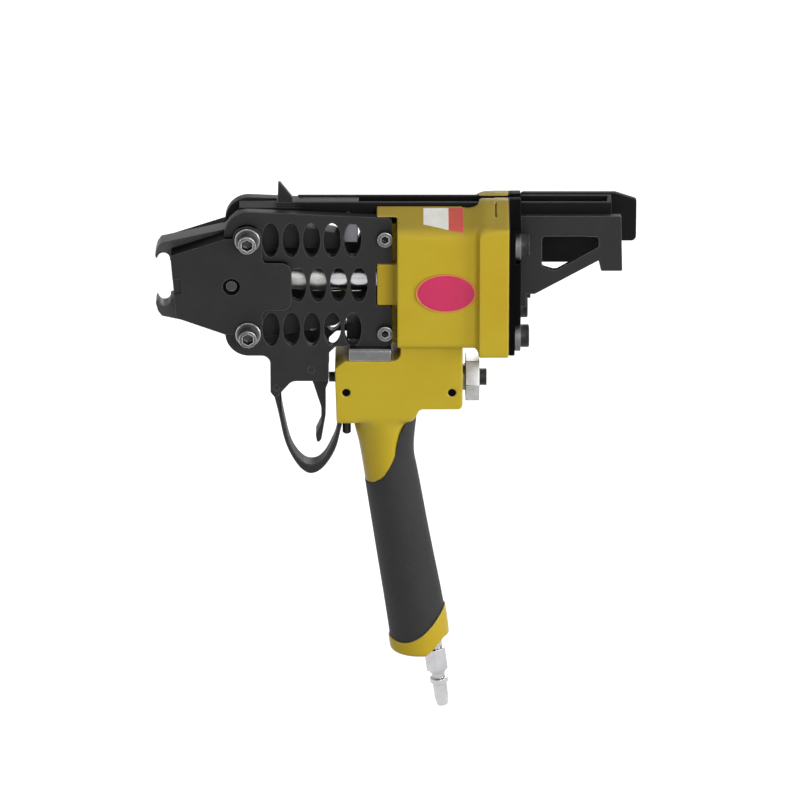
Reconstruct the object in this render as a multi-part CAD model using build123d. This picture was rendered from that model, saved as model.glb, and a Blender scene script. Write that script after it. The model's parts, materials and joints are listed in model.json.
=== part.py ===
from build123d import *
import math
import os

# The tool lies along X with its jaws at -X, and its handle hangs down along -Z.
# The origin is the middle of the jaw mouth, on the axis of the air cylinder.

# Clearances
RUN = 0.05
FIT = 0.03
GAP = 0.3

# Side plates
PLATE_GAP = 19.0
PLATE_T = 6.0
PLATE_FRONT = 35.5
PLATE_REAR = 133.5
PLATE_TOP_FRONT = 46.3
PLATE_TOP_REAR = 41.8
PLATE_BOTTOM = -44.7
PLATE_SHELF = -38.7
PLATE_CORNER_R = 14.0
PLATE_EDGE_R = 3.0
NOTCH_DEPTH = 9.4
NOTCH_HALF = 13.3
NOTCH_R = 1.5
HOLE_W = 10.0
HOLE_H = 21.0
HOLE_PITCH = 12.0
HOLE_ROW = 28.0
HOLE_COUNT = 5
HOLE_START = 62.5
MID_HOLE_START = 78.2
LUG_FRONT = 61.8
LUG_REAR = 96.2
LUG_BOTTOM = -60.8
LUG_TIP = -71.8
LUG_FLARE = 4.3
LUG_HOOK_L = 12.5
LUG_TIP_L = 3.0
LUG_TIP_H = 4.0
LUG_ROOT_R = 5.0
LUG_HOOK_R = 6.0
LUG_EDGE_R = 2.0
LUG_TIP_R = 1.0
PLATE_SPACER_SET = 3.8
PLATE_SPACER_L = 12.0
PLATE_SPACER_TOP = -26.0
PLATE_SPACER_H = 10.5

# Nose plates
NOSE_T = 3.5
NOSE_TOP_FRONT = 3.8
NOSE_LOW_FRONT = 6.8
NOSE_FRONT_HALF = 19.5
NOSE_SHOULDER = 30.0
NOSE_EAR_R = 8.5
NOSE_REAR = 74.7
NOSE_REAR_HALF = 15.0
NOSE_CORNER_R = 6.0
NOSE_ROOT_R = 3.0
NOSE_TIP_R = 1.5
NOSE_PIN_X = 39.4
NOSE_PIN_R = 3.1
NOSE_PIN_SUNK = 1.4
NOSE_RECESS_R = 5.0
NOSE_RECESS_DEPTH = 2.0
FEED_NOTCH_L = 5.0
FEED_NOTCH_H = 9.0
FEED_NOTCH_DEPTH = 1.2

# Jaws and their drive
PIVOT_X = 49.0
PIVOT_Z = 29.4
JAW_T = 12.0
JAW_TIP_X = -5.1
JAW_TIP_Z = 13.4
JAW_BEAK_L = 0.4
JAW_BEAK_H = 1.8
JAW_CHEEK_L = 0.9
JAW_CHEEK_Z = 20.0
JAW_BROW_L = 3.1
JAW_TOP_FRONT = 23.1
JAW_TOP_REAR = 31.5
JAW_NECK_L = 4.0
JAW_NECK_DROP = 2.0
JAW_BOSS_R = 11.5
JAW_CLOSE_DEG = 14.0
THROAT_Z = 9.2
THROAT_REAR_L = 2.0
THROAT_REAR_H = 8.0
THROAT_RAMP_L = 9.0
THROAT_RAMP_H = 2.0
THROAT_L = 19.0
JAW_LIP_X = 10.0
JAW_LIP_H = 1.4
JAW_LIP_TIP_H = 2.6
JAW_BEAK_R = 0.4
JAW_FRONT_R = 1.0
JAW_BROW_R = 2.0
THROAT_REAR_R = 3.0
THROAT_RAMP_R = 6.0
THROAT_R = 8.0
MOUTH_X = -0.5
MOUTH_Z = 12.9
MOUTH_R = 3.7
ARM_L = 49.0
ARM_ROOT_R = 9.0
ARM_END_R = 5.0
ARM_CLEAR = 0.6
ROLLER_X = 66.0
ROLLER_Z = 9.5
ROLLER_R = 5.0
ROLLER_W = 6.0
ROLLER_PIN_R = 2.5
FORK_R = 4.0
WEDGE_GAP = 0.45
WEDGE_TIP = 54.0
WEDGE_BLADE_END = 64.0
WEDGE_REAR = 97.0
PIVOT_R = 4.0
PIVOT_HEAD_R = 5.4
PIVOT_HEAD_H = 8.0
PIVOT_HEAD_EDGE = 0.8
PIVOT_SOCKET_AF = 6.0
PIVOT_SOCKET_DEPTH = 5.0
PIVOT_WASHER_R = 7.4
PIVOT_WASHER_T = 2.0
PIVOT_NUT_AF = 13.0
PIVOT_NUT_H = 6.5
PIVOT_TAIL = 2.0
SPACER_R = 8.0

# Air cylinder
BODY_FRONT = 136.5
BODY_HALF = 28.0
BODY_EAVE = 37.0
BODY_BELLY = -36.0
BODY_EAVE_R = 8.0
BODY_EDGE_R = 4.0
RIDGE_UNDER = 1.6
BOSS_FRONT = 124.7
FLANGE_FRONT = 184.7
FLANGE_REAR = 201.8
FLANGE_HALF = 33.0
FLANGE_EAVE = 40.5
FLANGE_RIDGE_HALF = 8.6
FLANGE_BOTTOM = -40.0
FLANGE_EDGE_R = 3.0
RIDGE_OVER = 1.8
ROOF_FLARE_L = 8.0
SIDE_FLARE_L = 1.6
FLARE_STEPS = 6
ROOF_SLOT_X = 194.1
ROOF_SLOT_W = 1.2
ROOF_SLOT_IN = 9.6
ROOF_SLOT_OUT = 22.0
ROOF_SLOT_DEPTH = 2.0
BORE_R = 25.0
BORE_FRONT = 142.5
ROD_R = 9.0
ROD_NECK_R = 5.0
ROD_SPIGOT_R = 4.0
ROD_SPIGOT_L = 14.0
WEDGE_PIN_R = 1.5
STROKE = 22.0
PISTON_FRONT = 184.0
PISTON_L = 15.0
PISTON_RUN = 0.1
PISTON_SEAL_W = 4.0
PISTON_SEAL_D = 3.4
PISTON_NUT_AF = 16.0
PISTON_NUT_H = 6.0
BUSH_R = 12.0
BUSH_REAR = 138.5
ROD_SEAL_WALL = 2.0
BUMPER_T = 4.4
BUMPER_IN_R = 11.0
BUMPER_OUT_R = 22.0
SPRING_R = 18.0
SPRING_WIRE = 4.0
GASKET_T = 0.5
CAP_T = 6.5
CAP_HALF = 32.0
CAP_BOTTOM = -39.0
CAP_SEAT_DEPTH = 3.4
CAP_BOLT_Y = 24.0
CAP_BOLT_Z = 28.5
CAP_BOLT_R = 4.0
CAP_BOLT_DEPTH = 12.0
CAP_HEAD_R = 6.7
CAP_HEAD_H = 5.1
CAP_SOCKET_AF = 6.0
CAP_SOCKET_DEPTH = 3.5
CAP_WASHER_R = 9.0
CAP_WASHER_T = 3.4
SCREW_X = 129.5
SCREW_Z = 29.5
SCREW_R = 2.5
SCREW_HEAD_R = 4.6
SCREW_HEAD_H = 4.0
SCREW_HEAD_EDGE = 0.6
SCREW_SOCKET_AF = 4.0
SCREW_SOCKET_DEPTH = 2.8
SCREW_DEPTH = 7.0

# Valve block and valve
BLOCK_FRONT = 99.8
BLOCK_REAR = 175.1
BLOCK_HALF = 20.0
BLOCK_TOP = -46.3
BLOCK_BOTTOM = -86.7
BLOCK_NOSE_L = 6.0
BLOCK_NOSE_H = 5.0
BLOCK_ROOT_L = 2.0
BLOCK_STEP_X = 149.5
BLOCK_STEP_Z = -77.2
BLOCK_STEP_L = 3.0
BLOCK_TOE = 1.0
BLOCK_EDGE_R = 3.0
BLOCK_CROWN_R = 4.0
BLOCK_ROOT_R = 5.0
BLOCK_TOE_R = 2.0
BAR_FRONT = 108.0
BAR_REAR = 133.0
BAR_EDGE_R = 2.5
VALVE_Z = -64.0
VALVE_BORE_R = 8.0
VALVE_WALL = 1.8
SLEEVE_REAR = 146.0
SPOOL_R = 5.0
SPOOL_SHOULDER = 3.0
SPOOL_WAIST_R = 3.4
SPOOL_WAIST_FRONT = 11.6
SPOOL_WAIST_REAR = 27.7
SPOOL_WAIST_L = 9.2
SPOOL_COLLAR_R = 7.0
SPOOL_COLLAR_T = 2.0
SPOOL_COLLAR_GAP = 1.0
STEM_R = 3.0
STEM_FRONT = 96.2
TAIL_REAR = 189.4
VALVE_SPRING_WIRE = 1.8
PLUG_HEX_AF = 25.0
PLUG_HEX_L = 8.3
PLUG_NECK_L = 1.7
PLUG_SHANK_L = 13.0
VALVE_SEAL_W = 2.0
VALVE_SEAL_D = 1.2
VALVE_SEAL_SET = 6.0
VALVE_SEALS = 3
SET_SCREW_R = 2.4
SET_SCREW_Z = -66.5
SET_SCREW_FRONT = 106.5
SET_SCREW_REAR = 168.8
SET_SCREW_SUNK = 1.0

# Handle: the flare under the block, the neck, the swell of the grip and the lower end
HANDLE_TOP = -80.0
HANDLE_TOP_X = 128.8
HANDLE_TOP_HALF = 19.4
HANDLE_TOP_DEPTH = 19.4
HANDLE_NECK = -114.0
HANDLE_NECK_X = 130.9
HANDLE_NECK_HALF = 15.6
HANDLE_DEPTH = 15.0
HANDLE_SWELL = -213.0
HANDLE_SWELL_X = 147.3
HANDLE_SWELL_HALF = 17.3
HANDLE_END = -246.0
HANDLE_END_X = 150.6
HANDLE_END_HALF = 16.4
HANDLE_STEPS = 3
GRIP_WALL = 3.2
TONGUE_REAR_X = 149.5
TONGUE_REAR_Z = -82.5
TONGUE_BACK_X = 140.2
TONGUE_BACK_Z = -90.5
TONGUE_SIDE_X = 136.2
TONGUE_SIDE_Z = -106.0
TONGUE_LOW_X = 130.0
TONGUE_LOW_Z = -120.5
TONGUE_FRONT_X = 112.0
TONGUE_FRONT_Z = -130.0
GRIP_FRONT_X = 105.0
GRIP_FRONT_Z = -180.0
GRIP_LOW_FRONT_X = 128.0
GRIP_LOW_FRONT_Z = -228.2
GRIP_LOW_X = 143.0
GRIP_LOW_Z = -230.0
GRIP_HEEL_X = 158.2
GRIP_HEEL_Z = -218.5
GRIP_LOW_REAR_X = 170.0
GRIP_LOW_REAR_Z = -203.0
GRIP_BACK_X = 178.0
GRIP_BACK_Z = -150.0
TONGUE_BOTTOM = -134.0
END_CAP_LIP = 1.1
END_CAP_TOP = -203.0
END_CAP_BOTTOM = -239.5
END_CAP_EDGE_R = 3.0
END_CUT_FRONT = 153.0
END_CUT_REAR = 164.6
END_CUT_TOP = -228.6
CORE_BOTTOM = -224.0
AIRWAY_R = 5.0
AIRWAY_TOP_X = 130.0
AIRWAY_LOW_X = 153.0
AIR_PLUG_X = 158.8
AIR_PLUG_Z = -238.8
AIR_PLUG_TILT = 7.8
AIR_PLUG_SHANK_R = 5.0
AIR_PLUG_SHANK_L = 13.0
AIR_PLUG_HEX_AF = 12.5
AIR_PLUG_HEX_L = 14.0
AIR_PLUG_COLLAR_L = 2.0
AIR_PLUG_NECK_R = 3.9
AIR_PLUG_NECK_L = 4.0
AIR_PLUG_RING_R = 5.4
AIR_PLUG_RING_L = 3.0
AIR_PLUG_PIN_R = 4.2
AIR_PLUG_PIN_L = 9.0
AIR_PLUG_TIP_R = 3.3
AIR_PLUG_TIP_L = 6.0
AIR_PLUG_BORE_R = 2.0
FILTER_L = 18.0
FILTER_WALL = 1.4
FILTER_RISE = 10.0

# Trigger and guard
TRIGGER_PIN_X = 86.0
TRIGGER_PIN_Z = -53.5
TRIGGER_PIN_R = 2.0
TRIGGER_T = 12.0
TRIGGER_HUB_R = 5.0
TRIGGER_ROOT = 4.0
TRIGGER_ROOT_SKEW = 1.0
TRIGGER_NECK_X = 87.0
TRIGGER_NECK_Z = -66.0
TRIGGER_FACE_X = 91.6
TRIGGER_FACE_TOP = -81.0
TRIGGER_FACE_LOW = -91.0
TRIGGER_HOOK_X = 88.2
TRIGGER_HOOK_Z = -98.5
TRIGGER_TIP_X = 89.2
TRIGGER_TIP_Z = -105.0
TRIGGER_HEEL_X = 91.6
TRIGGER_HEEL_Z = -101.5
TRIGGER_BACK_X = 94.2
TRIGGER_BACK_LOW = -86.0
TRIGGER_BACK_TOP = -69.5
TRIGGER_PAD_LOW = 1.0
TRIGGER_PAD_HIGH = 2.5
TRIGGER_FACE_R = 10.0
TRIGGER_NECK_R = 6.0
TRIGGER_HOOK_R = 3.0
TRIGGER_TIP_R = 1.0
GUARD_W = 24.0
GUARD_T = 2.4
GUARD_FRONT = 64.2
GUARD_CHEEK_X = 72.6
GUARD_CHEEK_Z = -105.0
GUARD_BOTTOM_X = 85.3
GUARD_BOTTOM_Z = -121.5
GUARD_HEEL_X = 95.8
GUARD_HEEL_Z = -109.0
GUARD_REAR = 102.2
GUARD_CHEEK_R = 14.0
GUARD_BOTTOM_R = 8.0
GUARD_FOOT_R = 1.6
GUARD_FOOT_REAR = 109.2
GUARD_EYE_R = 3.0
GUARD_EYE_L = 3.0
GUARD_PIN_X = 65.5
GUARD_PIN_Z = -65.0
GUARD_PIN_R = 1.8
GUARD_SCREW_X = 106.6
GUARD_SCREW_R = 1.5
GUARD_SCREW_DEPTH = 9.0
GUARD_HEAD_R = 2.5
GUARD_HEAD_H = 10.8
GUARD_HEAD_EDGE = 0.8

# Ring magazine
TRACK_FRONT = 44.0
TRACK_HALF = 6.0
TRACK_CLEAR = 1.1
TRACK_T = 2.8
CHANNEL_SET = 34.0
CHANNEL_RAKE = 5.0
CHANNEL_REAR = 262.0
CHANNEL_HALF = 7.0
CHANNEL_WALL = 2.4
CHANNEL_DIP = 6.0
CHANNEL_RISE = 6.4
DROP_CLEAR = 2.0
REST_L = 8.5
REST_H = 11.5
PUSHER_SET = 22.0
PUSHER_T = 2.6
PUSHER_HOOK_L = 3.0
FIN_T = 3.0
FIN_RISE = 16.7
FIN_L = 9.0
FIN_SET = 0.5
FIN_RAKE = 0.4
FIN_TIP_L = 1.3
FIN_FOOT_H = 1.5
FIN_SLOT = 5.0
FEED_ROLL_R = 2.6
FEED_ROLL_W = 8.0
FEED_BAND_T = 0.4
FEED_PIN_R = 1.2
BRACKET_HALF = 12.5
BRACKET_WALL = 3.5
BRACKET_BASE_T = 3.5
BRACKET_BASE_BOTTOM = -15.0
BRACKET_OVER = 6.0
BRACKET_BAR_H = 12.7
BRACKET_REAR = 267.5
BRACKET_LEG_L = 13.0
BRACKET_LEG_KICK = 1.0
BRACKET_LEG_TAPER = 1.5
BRACKET_LEG_BOTTOM = 7.7
BRACKET_LEG_H = 6.5
BRACKET_TOE = 8.5
BRACKET_TOE_R = 3.0
BRACKET_HEEL_Z = -6.8
BRACKET_EDGE_R = 1.0
WINDOW_SET = 9.0
WINDOW_TOE = 17.0
WINDOW_RISE = 15.0
WINDOW_STEP = 2.5
WINDOW_R = 2.0
WINDOW_TOE_R = 5.0
TIE_L = 14.0
TIE_H = 7.0
FAR_PLATE_REAR = 277.1
FAR_PLATE_TOP = 48.5
FAR_PLATE_BOTTOM = 5.0
FAR_PLATE_TAIL = 18.4
FAR_PLATE_NOSE_L = 12.6
FAR_PLATE_NOSE_H = 4.2
FAR_PLATE_TOE = 245.0
FAR_PLATE_HEEL = 262.0
FAR_PLATE_EDGE_R = 2.0
FAR_PLATE_TAIL_R = 3.0
MAG_SCREW_R = 1.6
MAG_SCREW_HEAD_R = 3.0
MAG_SCREW_HEAD_H = 2.6
MAG_SCREW_DEPTH = 5.0
MAG_SCREW_Y = 5.0
MAG_SCREW_TOP = 6.0
MAG_SCREW_LOW = -9.0

# Sizes that follow from those above
PLATE_IN = PLATE_GAP / 2
PLATE_OUT = PLATE_IN + PLATE_T
NOSE_OUT = PLATE_OUT + NOSE_T
CAP_FRONT = FLANGE_REAR + GASKET_T
CAP_REAR = CAP_FRONT + CAP_T
CAP_SEAT = CAP_REAR - CAP_SEAT_DEPTH
CAP_HEAD_SEAT = CAP_SEAT + CAP_WASHER_T
TRACK_Z = PIVOT_Z + JAW_BOSS_R + TRACK_CLEAR
TRACK_TOP = TRACK_Z + TRACK_T
CHANNEL_FRONT = TRACK_FRONT + CHANNEL_SET
CHANNEL_FLOOR = TRACK_Z - CHANNEL_DIP
CHANNEL_TOP = TRACK_Z + CHANNEL_RISE
CHANNEL_IN = CHANNEL_HALF - CHANNEL_WALL
CHANNEL_DROP = PIVOT_X + ARM_L + ARM_END_R + DROP_CLEAR
TROUGH_FLOOR = CHANNEL_FLOOR + TRACK_T
BAND_Z = TROUGH_FLOOR + 2 * GAP
FEED_ROLL_X = CHANNEL_DROP + GAP + FEED_ROLL_R
FEED_ROLL_Z = TROUGH_FLOOR + GAP + FEED_ROLL_R
PUSHER_FRONT = TRACK_FRONT + PUSHER_SET
PUSHER_REAR = FEED_ROLL_X + FEED_ROLL_R + 2 * GAP + PUSHER_HOOK_L
FIN_TOP = TRACK_Z + FIN_RISE
BODY_RIDGE = CHANNEL_TOP - RIDGE_UNDER
BODY_RIDGE_HALF = CHANNEL_HALF + GAP
FLANGE_RIDGE = CHANNEL_TOP + RIDGE_OVER
BRACKET_TOP = CHANNEL_FLOOR + BRACKET_OVER
PISTON_REAR = PISTON_FRONT + PISTON_L
BASE_REAR = CAP_REAR + BRACKET_BASE_T
ROD_SEAL_R = ROD_R + ROD_SEAL_WALL
SET_SCREW_SEAT = VALVE_BORE_R + GAP
PLATE_SPACER_FRONT = PIVOT_X + ARM_L + ARM_END_R + PLATE_SPACER_SET


def turn_about_pivot(x, z, degrees):
    """Place of a point of the upper jaw after the jaw has closed by an angle."""
    angle = math.radians(degrees)
    dx = x - PIVOT_X
    dz = z - PIVOT_Z
    return (
        PIVOT_X + dx * math.cos(angle) - dz * math.sin(angle),
        PIVOT_Z + dx * math.sin(angle) + dz * math.cos(angle),
    )


def outline(points, radius=0.0):
    """Face with straight sides and rounded corners, one radius or a list of them."""
    return make_face(FilletPolyline(*points, radius=radius, close=True))


def slab(face, y0, y1):
    """Solid of a side outline, given in X and Z, between two places along Y."""
    return extrude(Plane.XZ.offset(-y1) * face, amount=y1 - y0)


def bar(face, x0, x1):
    """Solid of a cross-section, given in Y and Z, between two places along X."""
    return extrude(Plane.YZ.offset(x0) * face, amount=x1 - x0)


def block(x0, x1, y0, y1, z0, z1):
    """Plain box between two corners."""
    return Pos((x0 + x1) / 2, (y0 + y1) / 2, (z0 + z1) / 2) * Box(x1 - x0, y1 - y0, z1 - z0)


def shaft_x(radius, x0, x1, y=0.0, z=0.0):
    """Round bar along X."""
    return bar(Pos(y, z) * Circle(radius), x0, x1)


def shaft_y(radius, y0, y1, x, z):
    """Round bar along Y."""
    return slab(Pos(x, z) * Circle(radius), y0, y1)


def hexagon(across_flats):
    """Hexagon face with two flats level."""
    return RegularPolygon(across_flats / 2, 6, major_radius=False)


def mirrored(shape):
    """The same piece on the other side of the middle plane."""
    return mirror(shape, about=Plane.XZ)


def save(shape, node):
    """Write one piece to its own file."""
    export_step(shape, f"parts/{node}.step")


def group(*shapes):
    """Separate solids of one node."""
    return Compound(children=[solid for shape in shapes for solid in shape.solids()])


# Side plates and nose plates
def plate_outline():
    """Side plate with its rear ears, the trigger lug below and its rows of oval holes."""
    points = [
        (PLATE_FRONT, PLATE_TOP_FRONT),
        (PLATE_REAR, PLATE_TOP_REAR),
        (PLATE_REAR, NOTCH_HALF),
        (PLATE_REAR - NOTCH_DEPTH, NOTCH_HALF),
        (PLATE_REAR - NOTCH_DEPTH, -NOTCH_HALF),
        (PLATE_REAR, -NOTCH_HALF),
        (PLATE_REAR, PLATE_SHELF),
        (LUG_REAR + LUG_FLARE, PLATE_SHELF),
        (LUG_REAR, PLATE_SHELF - LUG_FLARE),
        (LUG_REAR, LUG_BOTTOM),
        (LUG_FRONT + LUG_HOOK_L, LUG_BOTTOM),
        (LUG_FRONT + LUG_TIP_L, LUG_TIP),
        (LUG_FRONT, LUG_TIP + LUG_TIP_H),
        (LUG_FRONT, PLATE_BOTTOM),
        (PLATE_FRONT, PLATE_BOTTOM),
    ]
    radii = [PLATE_CORNER_R, PLATE_EDGE_R, NOTCH_R, NOTCH_R, NOTCH_R, NOTCH_R, PLATE_EDGE_R]
    radii += [LUG_EDGE_R, LUG_EDGE_R, LUG_EDGE_R, LUG_HOOK_R, LUG_TIP_R, LUG_TIP_R]
    radii += [LUG_ROOT_R, PLATE_CORNER_R]
    face = outline(points, radii)
    hole = Ellipse(HOLE_W / 2, HOLE_H / 2)
    for i in range(HOLE_COUNT):
        face -= Pos(HOLE_START + i * HOLE_PITCH, HOLE_ROW) * hole
        face -= Pos(HOLE_START + i * HOLE_PITCH, -HOLE_ROW) * hole
    for i in range(HOLE_COUNT - 1):
        face -= Pos(MID_HOLE_START + i * HOLE_PITCH, 0) * hole
    for z in (PIVOT_Z, -PIVOT_Z):
        face -= Pos(PIVOT_X, z) * Circle(PIVOT_R + FIT)
    for z in (SCREW_Z, -SCREW_Z):
        face -= Pos(SCREW_X, z) * Circle(SCREW_R + FIT)
    face -= Pos(NOSE_PIN_X, 0) * Circle(NOSE_PIN_R + FIT)
    face -= Pos(TRIGGER_PIN_X, TRIGGER_PIN_Z) * Circle(TRIGGER_PIN_R + FIT)
    face -= Pos(GUARD_PIN_X, GUARD_PIN_Z) * Circle(GUARD_PIN_R + FIT)
    return face


def near_side_plate():
    return slab(plate_outline(), -PLATE_OUT, -PLATE_IN)


def plate_spacer():
    rear = PLATE_SPACER_FRONT + PLATE_SPACER_L
    low = PLATE_SPACER_TOP - PLATE_SPACER_H
    return block(PLATE_SPACER_FRONT, rear, -PLATE_IN, PLATE_IN, low, PLATE_SPACER_TOP)


def plate_top(x):
    """Height of the side plates' sloping top edge."""
    share = (x - PLATE_FRONT) / (PLATE_REAR - PLATE_FRONT)
    return PLATE_TOP_FRONT + share * (PLATE_TOP_REAR - PLATE_TOP_FRONT)


def nose_outline():
    """Nose plate: tapered front, an ear round each pivot bolt and a rear tongue."""
    front = outline(
        [
            (NOSE_LOW_FRONT, -NOSE_FRONT_HALF),
            (NOSE_TOP_FRONT, NOSE_FRONT_HALF),
            (PLATE_FRONT, NOSE_SHOULDER),
            (PIVOT_X, NOSE_SHOULDER),
            (PIVOT_X, -NOSE_SHOULDER),
            (PLATE_FRONT, -NOSE_SHOULDER),
        ],
        [NOSE_TIP_R, NOSE_TIP_R, 0, 0, 0, 0],
    )
    rear_l = NOSE_REAR - PIVOT_X
    face = front + Pos(PIVOT_X, 0) * RectangleRounded(2 * rear_l, 2 * NOSE_REAR_HALF, NOSE_CORNER_R)
    face += Pos(PIVOT_X, 0) * SlotCenterToCenter(2 * PIVOT_Z, 2 * NOSE_EAR_R, rotation=90)
    root_x = PIVOT_X + NOSE_EAR_R
    at_ear = face.vertices().filter_by(lambda v: abs(v.X - root_x) < FIT)
    roots = at_ear.filter_by(lambda v: abs(v.Y) < NOSE_REAR_HALF + FIT)
    return fillet(roots, NOSE_ROOT_R)


def near_nose_plate():
    inner = JAW_T / 2 + GAP
    face = nose_outline()
    plate = slab(face, -NOSE_OUT, -PLATE_OUT)
    snout = slab(face, -PLATE_OUT, -inner)
    plate += snout & block(0, PLATE_FRONT - GAP, -PLATE_OUT, -inner, -NOSE_SHOULDER, NOSE_SHOULDER)
    for z in (PIVOT_Z, -PIVOT_Z):
        plate -= shaft_y(PIVOT_R + FIT, -NOSE_OUT, -PLATE_OUT, PIVOT_X, z)
    plate -= shaft_y(NOSE_RECESS_R, -NOSE_OUT, -NOSE_OUT + NOSE_RECESS_DEPTH, NOSE_PIN_X, 0)
    plate -= shaft_y(NOSE_PIN_R + FIT, -NOSE_OUT, -PLATE_OUT, NOSE_PIN_X, 0)
    notch_x = (NOSE_TOP_FRONT + NOSE_LOW_FRONT) / 2 + FEED_NOTCH_L
    notch_y = -NOSE_OUT + FEED_NOTCH_DEPTH
    half = FEED_NOTCH_H / 2
    return plate - block(0, notch_x, -NOSE_OUT, notch_y, -half, half)


def nose_pin():
    return shaft_y(NOSE_PIN_R, -NOSE_OUT + NOSE_PIN_SUNK, -PLATE_IN, NOSE_PIN_X, 0)


# Jaws and what drives them
def link(x0, z0, r0, x1, z1, r1):
    """Face of an arm with a round end at each of two centres."""
    first = Pos(x0, z0) * Circle(r0)
    second = Pos(x1, z1) * Circle(r1)
    return make_hull(first.edges() + second.edges())


def upper_jaw():
    """Jaw with its biting tip, the fork that holds a roller and a long rear arm."""
    blade = outline(
        [
            (JAW_TIP_X, JAW_TIP_Z),
            (JAW_TIP_X - JAW_BEAK_L, JAW_TIP_Z + JAW_BEAK_H),
            (JAW_TIP_X + JAW_CHEEK_L, JAW_CHEEK_Z),
            (JAW_TIP_X + JAW_BROW_L, JAW_TOP_FRONT),
            (PLATE_FRONT, JAW_TOP_REAR),
            (PIVOT_X - JAW_NECK_L, PIVOT_Z + JAW_BOSS_R - JAW_NECK_DROP),
            (PIVOT_X, PIVOT_Z),
            (PIVOT_X - THROAT_REAR_L, THROAT_Z + THROAT_REAR_H),
            (PIVOT_X - THROAT_RAMP_L, THROAT_Z + THROAT_RAMP_H),
            (PIVOT_X - THROAT_L, THROAT_Z),
            (JAW_LIP_X, THROAT_Z + JAW_LIP_H),
            (MOUTH_R, THROAT_Z + JAW_LIP_TIP_H),
        ],
        [JAW_BEAK_R, JAW_FRONT_R, JAW_BROW_R, JAW_BROW_R, 0, 0, 0]
        + [THROAT_REAR_R, THROAT_RAMP_R, THROAT_R, 0, JAW_FRONT_R],
    )
    blade -= Pos(MOUTH_X, MOUTH_Z) * Circle(MOUTH_R)
    blade += Pos(PIVOT_X, PIVOT_Z) * Circle(JAW_BOSS_R)
    blade += link(PIVOT_X, PIVOT_Z, ARM_ROOT_R, ROLLER_X, ROLLER_Z, FORK_R)
    closed_z = TRACK_Z - ARM_CLEAR - ARM_END_R
    arm_x, arm_z = turn_about_pivot(PIVOT_X + ARM_L, closed_z, -JAW_CLOSE_DEG)
    blade += link(PIVOT_X, PIVOT_Z, ARM_ROOT_R, arm_x, arm_z, ARM_END_R)
    jaw = slab(blade, -JAW_T / 2, JAW_T / 2)
    jaw -= shaft_y(PIVOT_R + RUN, -JAW_T / 2, JAW_T / 2, PIVOT_X, PIVOT_Z)
    jaw -= shaft_y(ROLLER_PIN_R + FIT, -JAW_T / 2, JAW_T / 2, ROLLER_X, ROLLER_Z)
    slot = ROLLER_W / 2 + GAP
    return jaw - shaft_y(ROLLER_R + 2 * GAP, -slot, slot, ROLLER_X, ROLLER_Z)


def roller():
    solid = shaft_y(ROLLER_R, -ROLLER_W / 2, ROLLER_W / 2, ROLLER_X, ROLLER_Z)
    return solid - shaft_y(ROLLER_PIN_R + RUN, -ROLLER_W / 2, ROLLER_W / 2, ROLLER_X, ROLLER_Z)


def roller_pin():
    return shaft_y(ROLLER_PIN_R, -JAW_T / 2, JAW_T / 2, ROLLER_X, ROLLER_Z)


def lower(shape):
    """The same piece below the cylinder axis."""
    return mirror(shape, about=Plane.XY)


def drive_wedge():
    """Round bar milled to two ramps that push the jaw rollers apart."""
    end_x, end_z = turn_about_pivot(ROLLER_X, ROLLER_Z, JAW_CLOSE_DEG)
    slope = (end_z - ROLLER_Z) / (end_x + STROKE - ROLLER_X)
    lift = (ROLLER_R + WEDGE_GAP) * math.hypot(1, slope)
    tip_h = ROLLER_Z + (WEDGE_TIP - ROLLER_X) * slope - lift
    rear_h = ROLLER_Z + (WEDGE_REAR - ROLLER_X) * slope - lift
    ramps = Polygon(
        (WEDGE_TIP, -tip_h),
        (WEDGE_REAR, -rear_h),
        (WEDGE_REAR, rear_h),
        (WEDGE_TIP, tip_h),
        align=None,
    )
    wedge = slab(ramps, -ROD_R, ROD_R) & shaft_x(ROD_R, WEDGE_TIP, WEDGE_REAR)
    side = JAW_T / 2 - GAP / 2
    for y0, y1 in ((side, ROD_R), (-ROD_R, -side)):
        wedge -= block(WEDGE_TIP, WEDGE_BLADE_END, y0, y1, -ROD_R, ROD_R)
    wedge -= shaft_x(ROD_SPIGOT_R + FIT, WEDGE_REAR - ROD_SPIGOT_L, WEDGE_REAR)
    wedge -= shaft_y(WEDGE_PIN_R + FIT, -ROD_R, ROD_R, WEDGE_REAR - ROD_SPIGOT_L / 2, 0)
    return wedge


def wedge_pin():
    return shaft_y(WEDGE_PIN_R, -ROD_R + GAP, ROD_R - GAP, WEDGE_REAR - ROD_SPIGOT_L / 2, 0)


def pivot_bolt():
    head_y = -NOSE_OUT - PIVOT_WASHER_T
    tip_y = head_y - PIVOT_HEAD_H
    tail_y = NOSE_OUT + PIVOT_WASHER_T + PIVOT_NUT_H + PIVOT_TAIL
    head = shaft_y(PIVOT_HEAD_R, tip_y, head_y, PIVOT_X, PIVOT_Z)
    head = chamfer(head.edges().sort_by(Axis.Y)[0], PIVOT_HEAD_EDGE)
    socket = slab(Pos(PIVOT_X, PIVOT_Z) * hexagon(PIVOT_SOCKET_AF), tip_y, tip_y + PIVOT_SOCKET_DEPTH)
    return head - socket + shaft_y(PIVOT_R, head_y, tail_y, PIVOT_X, PIVOT_Z)


def pivot_washer():
    disc = shaft_y(PIVOT_WASHER_R, -NOSE_OUT - PIVOT_WASHER_T, -NOSE_OUT, PIVOT_X, PIVOT_Z)
    return disc - shaft_y(PIVOT_R + FIT, -NOSE_OUT - PIVOT_WASHER_T, -NOSE_OUT, PIVOT_X, PIVOT_Z)


def pivot_nut():
    y0 = NOSE_OUT + PIVOT_WASHER_T
    nut = slab(Pos(PIVOT_X, PIVOT_Z) * hexagon(PIVOT_NUT_AF), y0, y0 + PIVOT_NUT_H)
    return nut - shaft_y(PIVOT_R + FIT, y0, y0 + PIVOT_NUT_H, PIVOT_X, PIVOT_Z)


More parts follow.
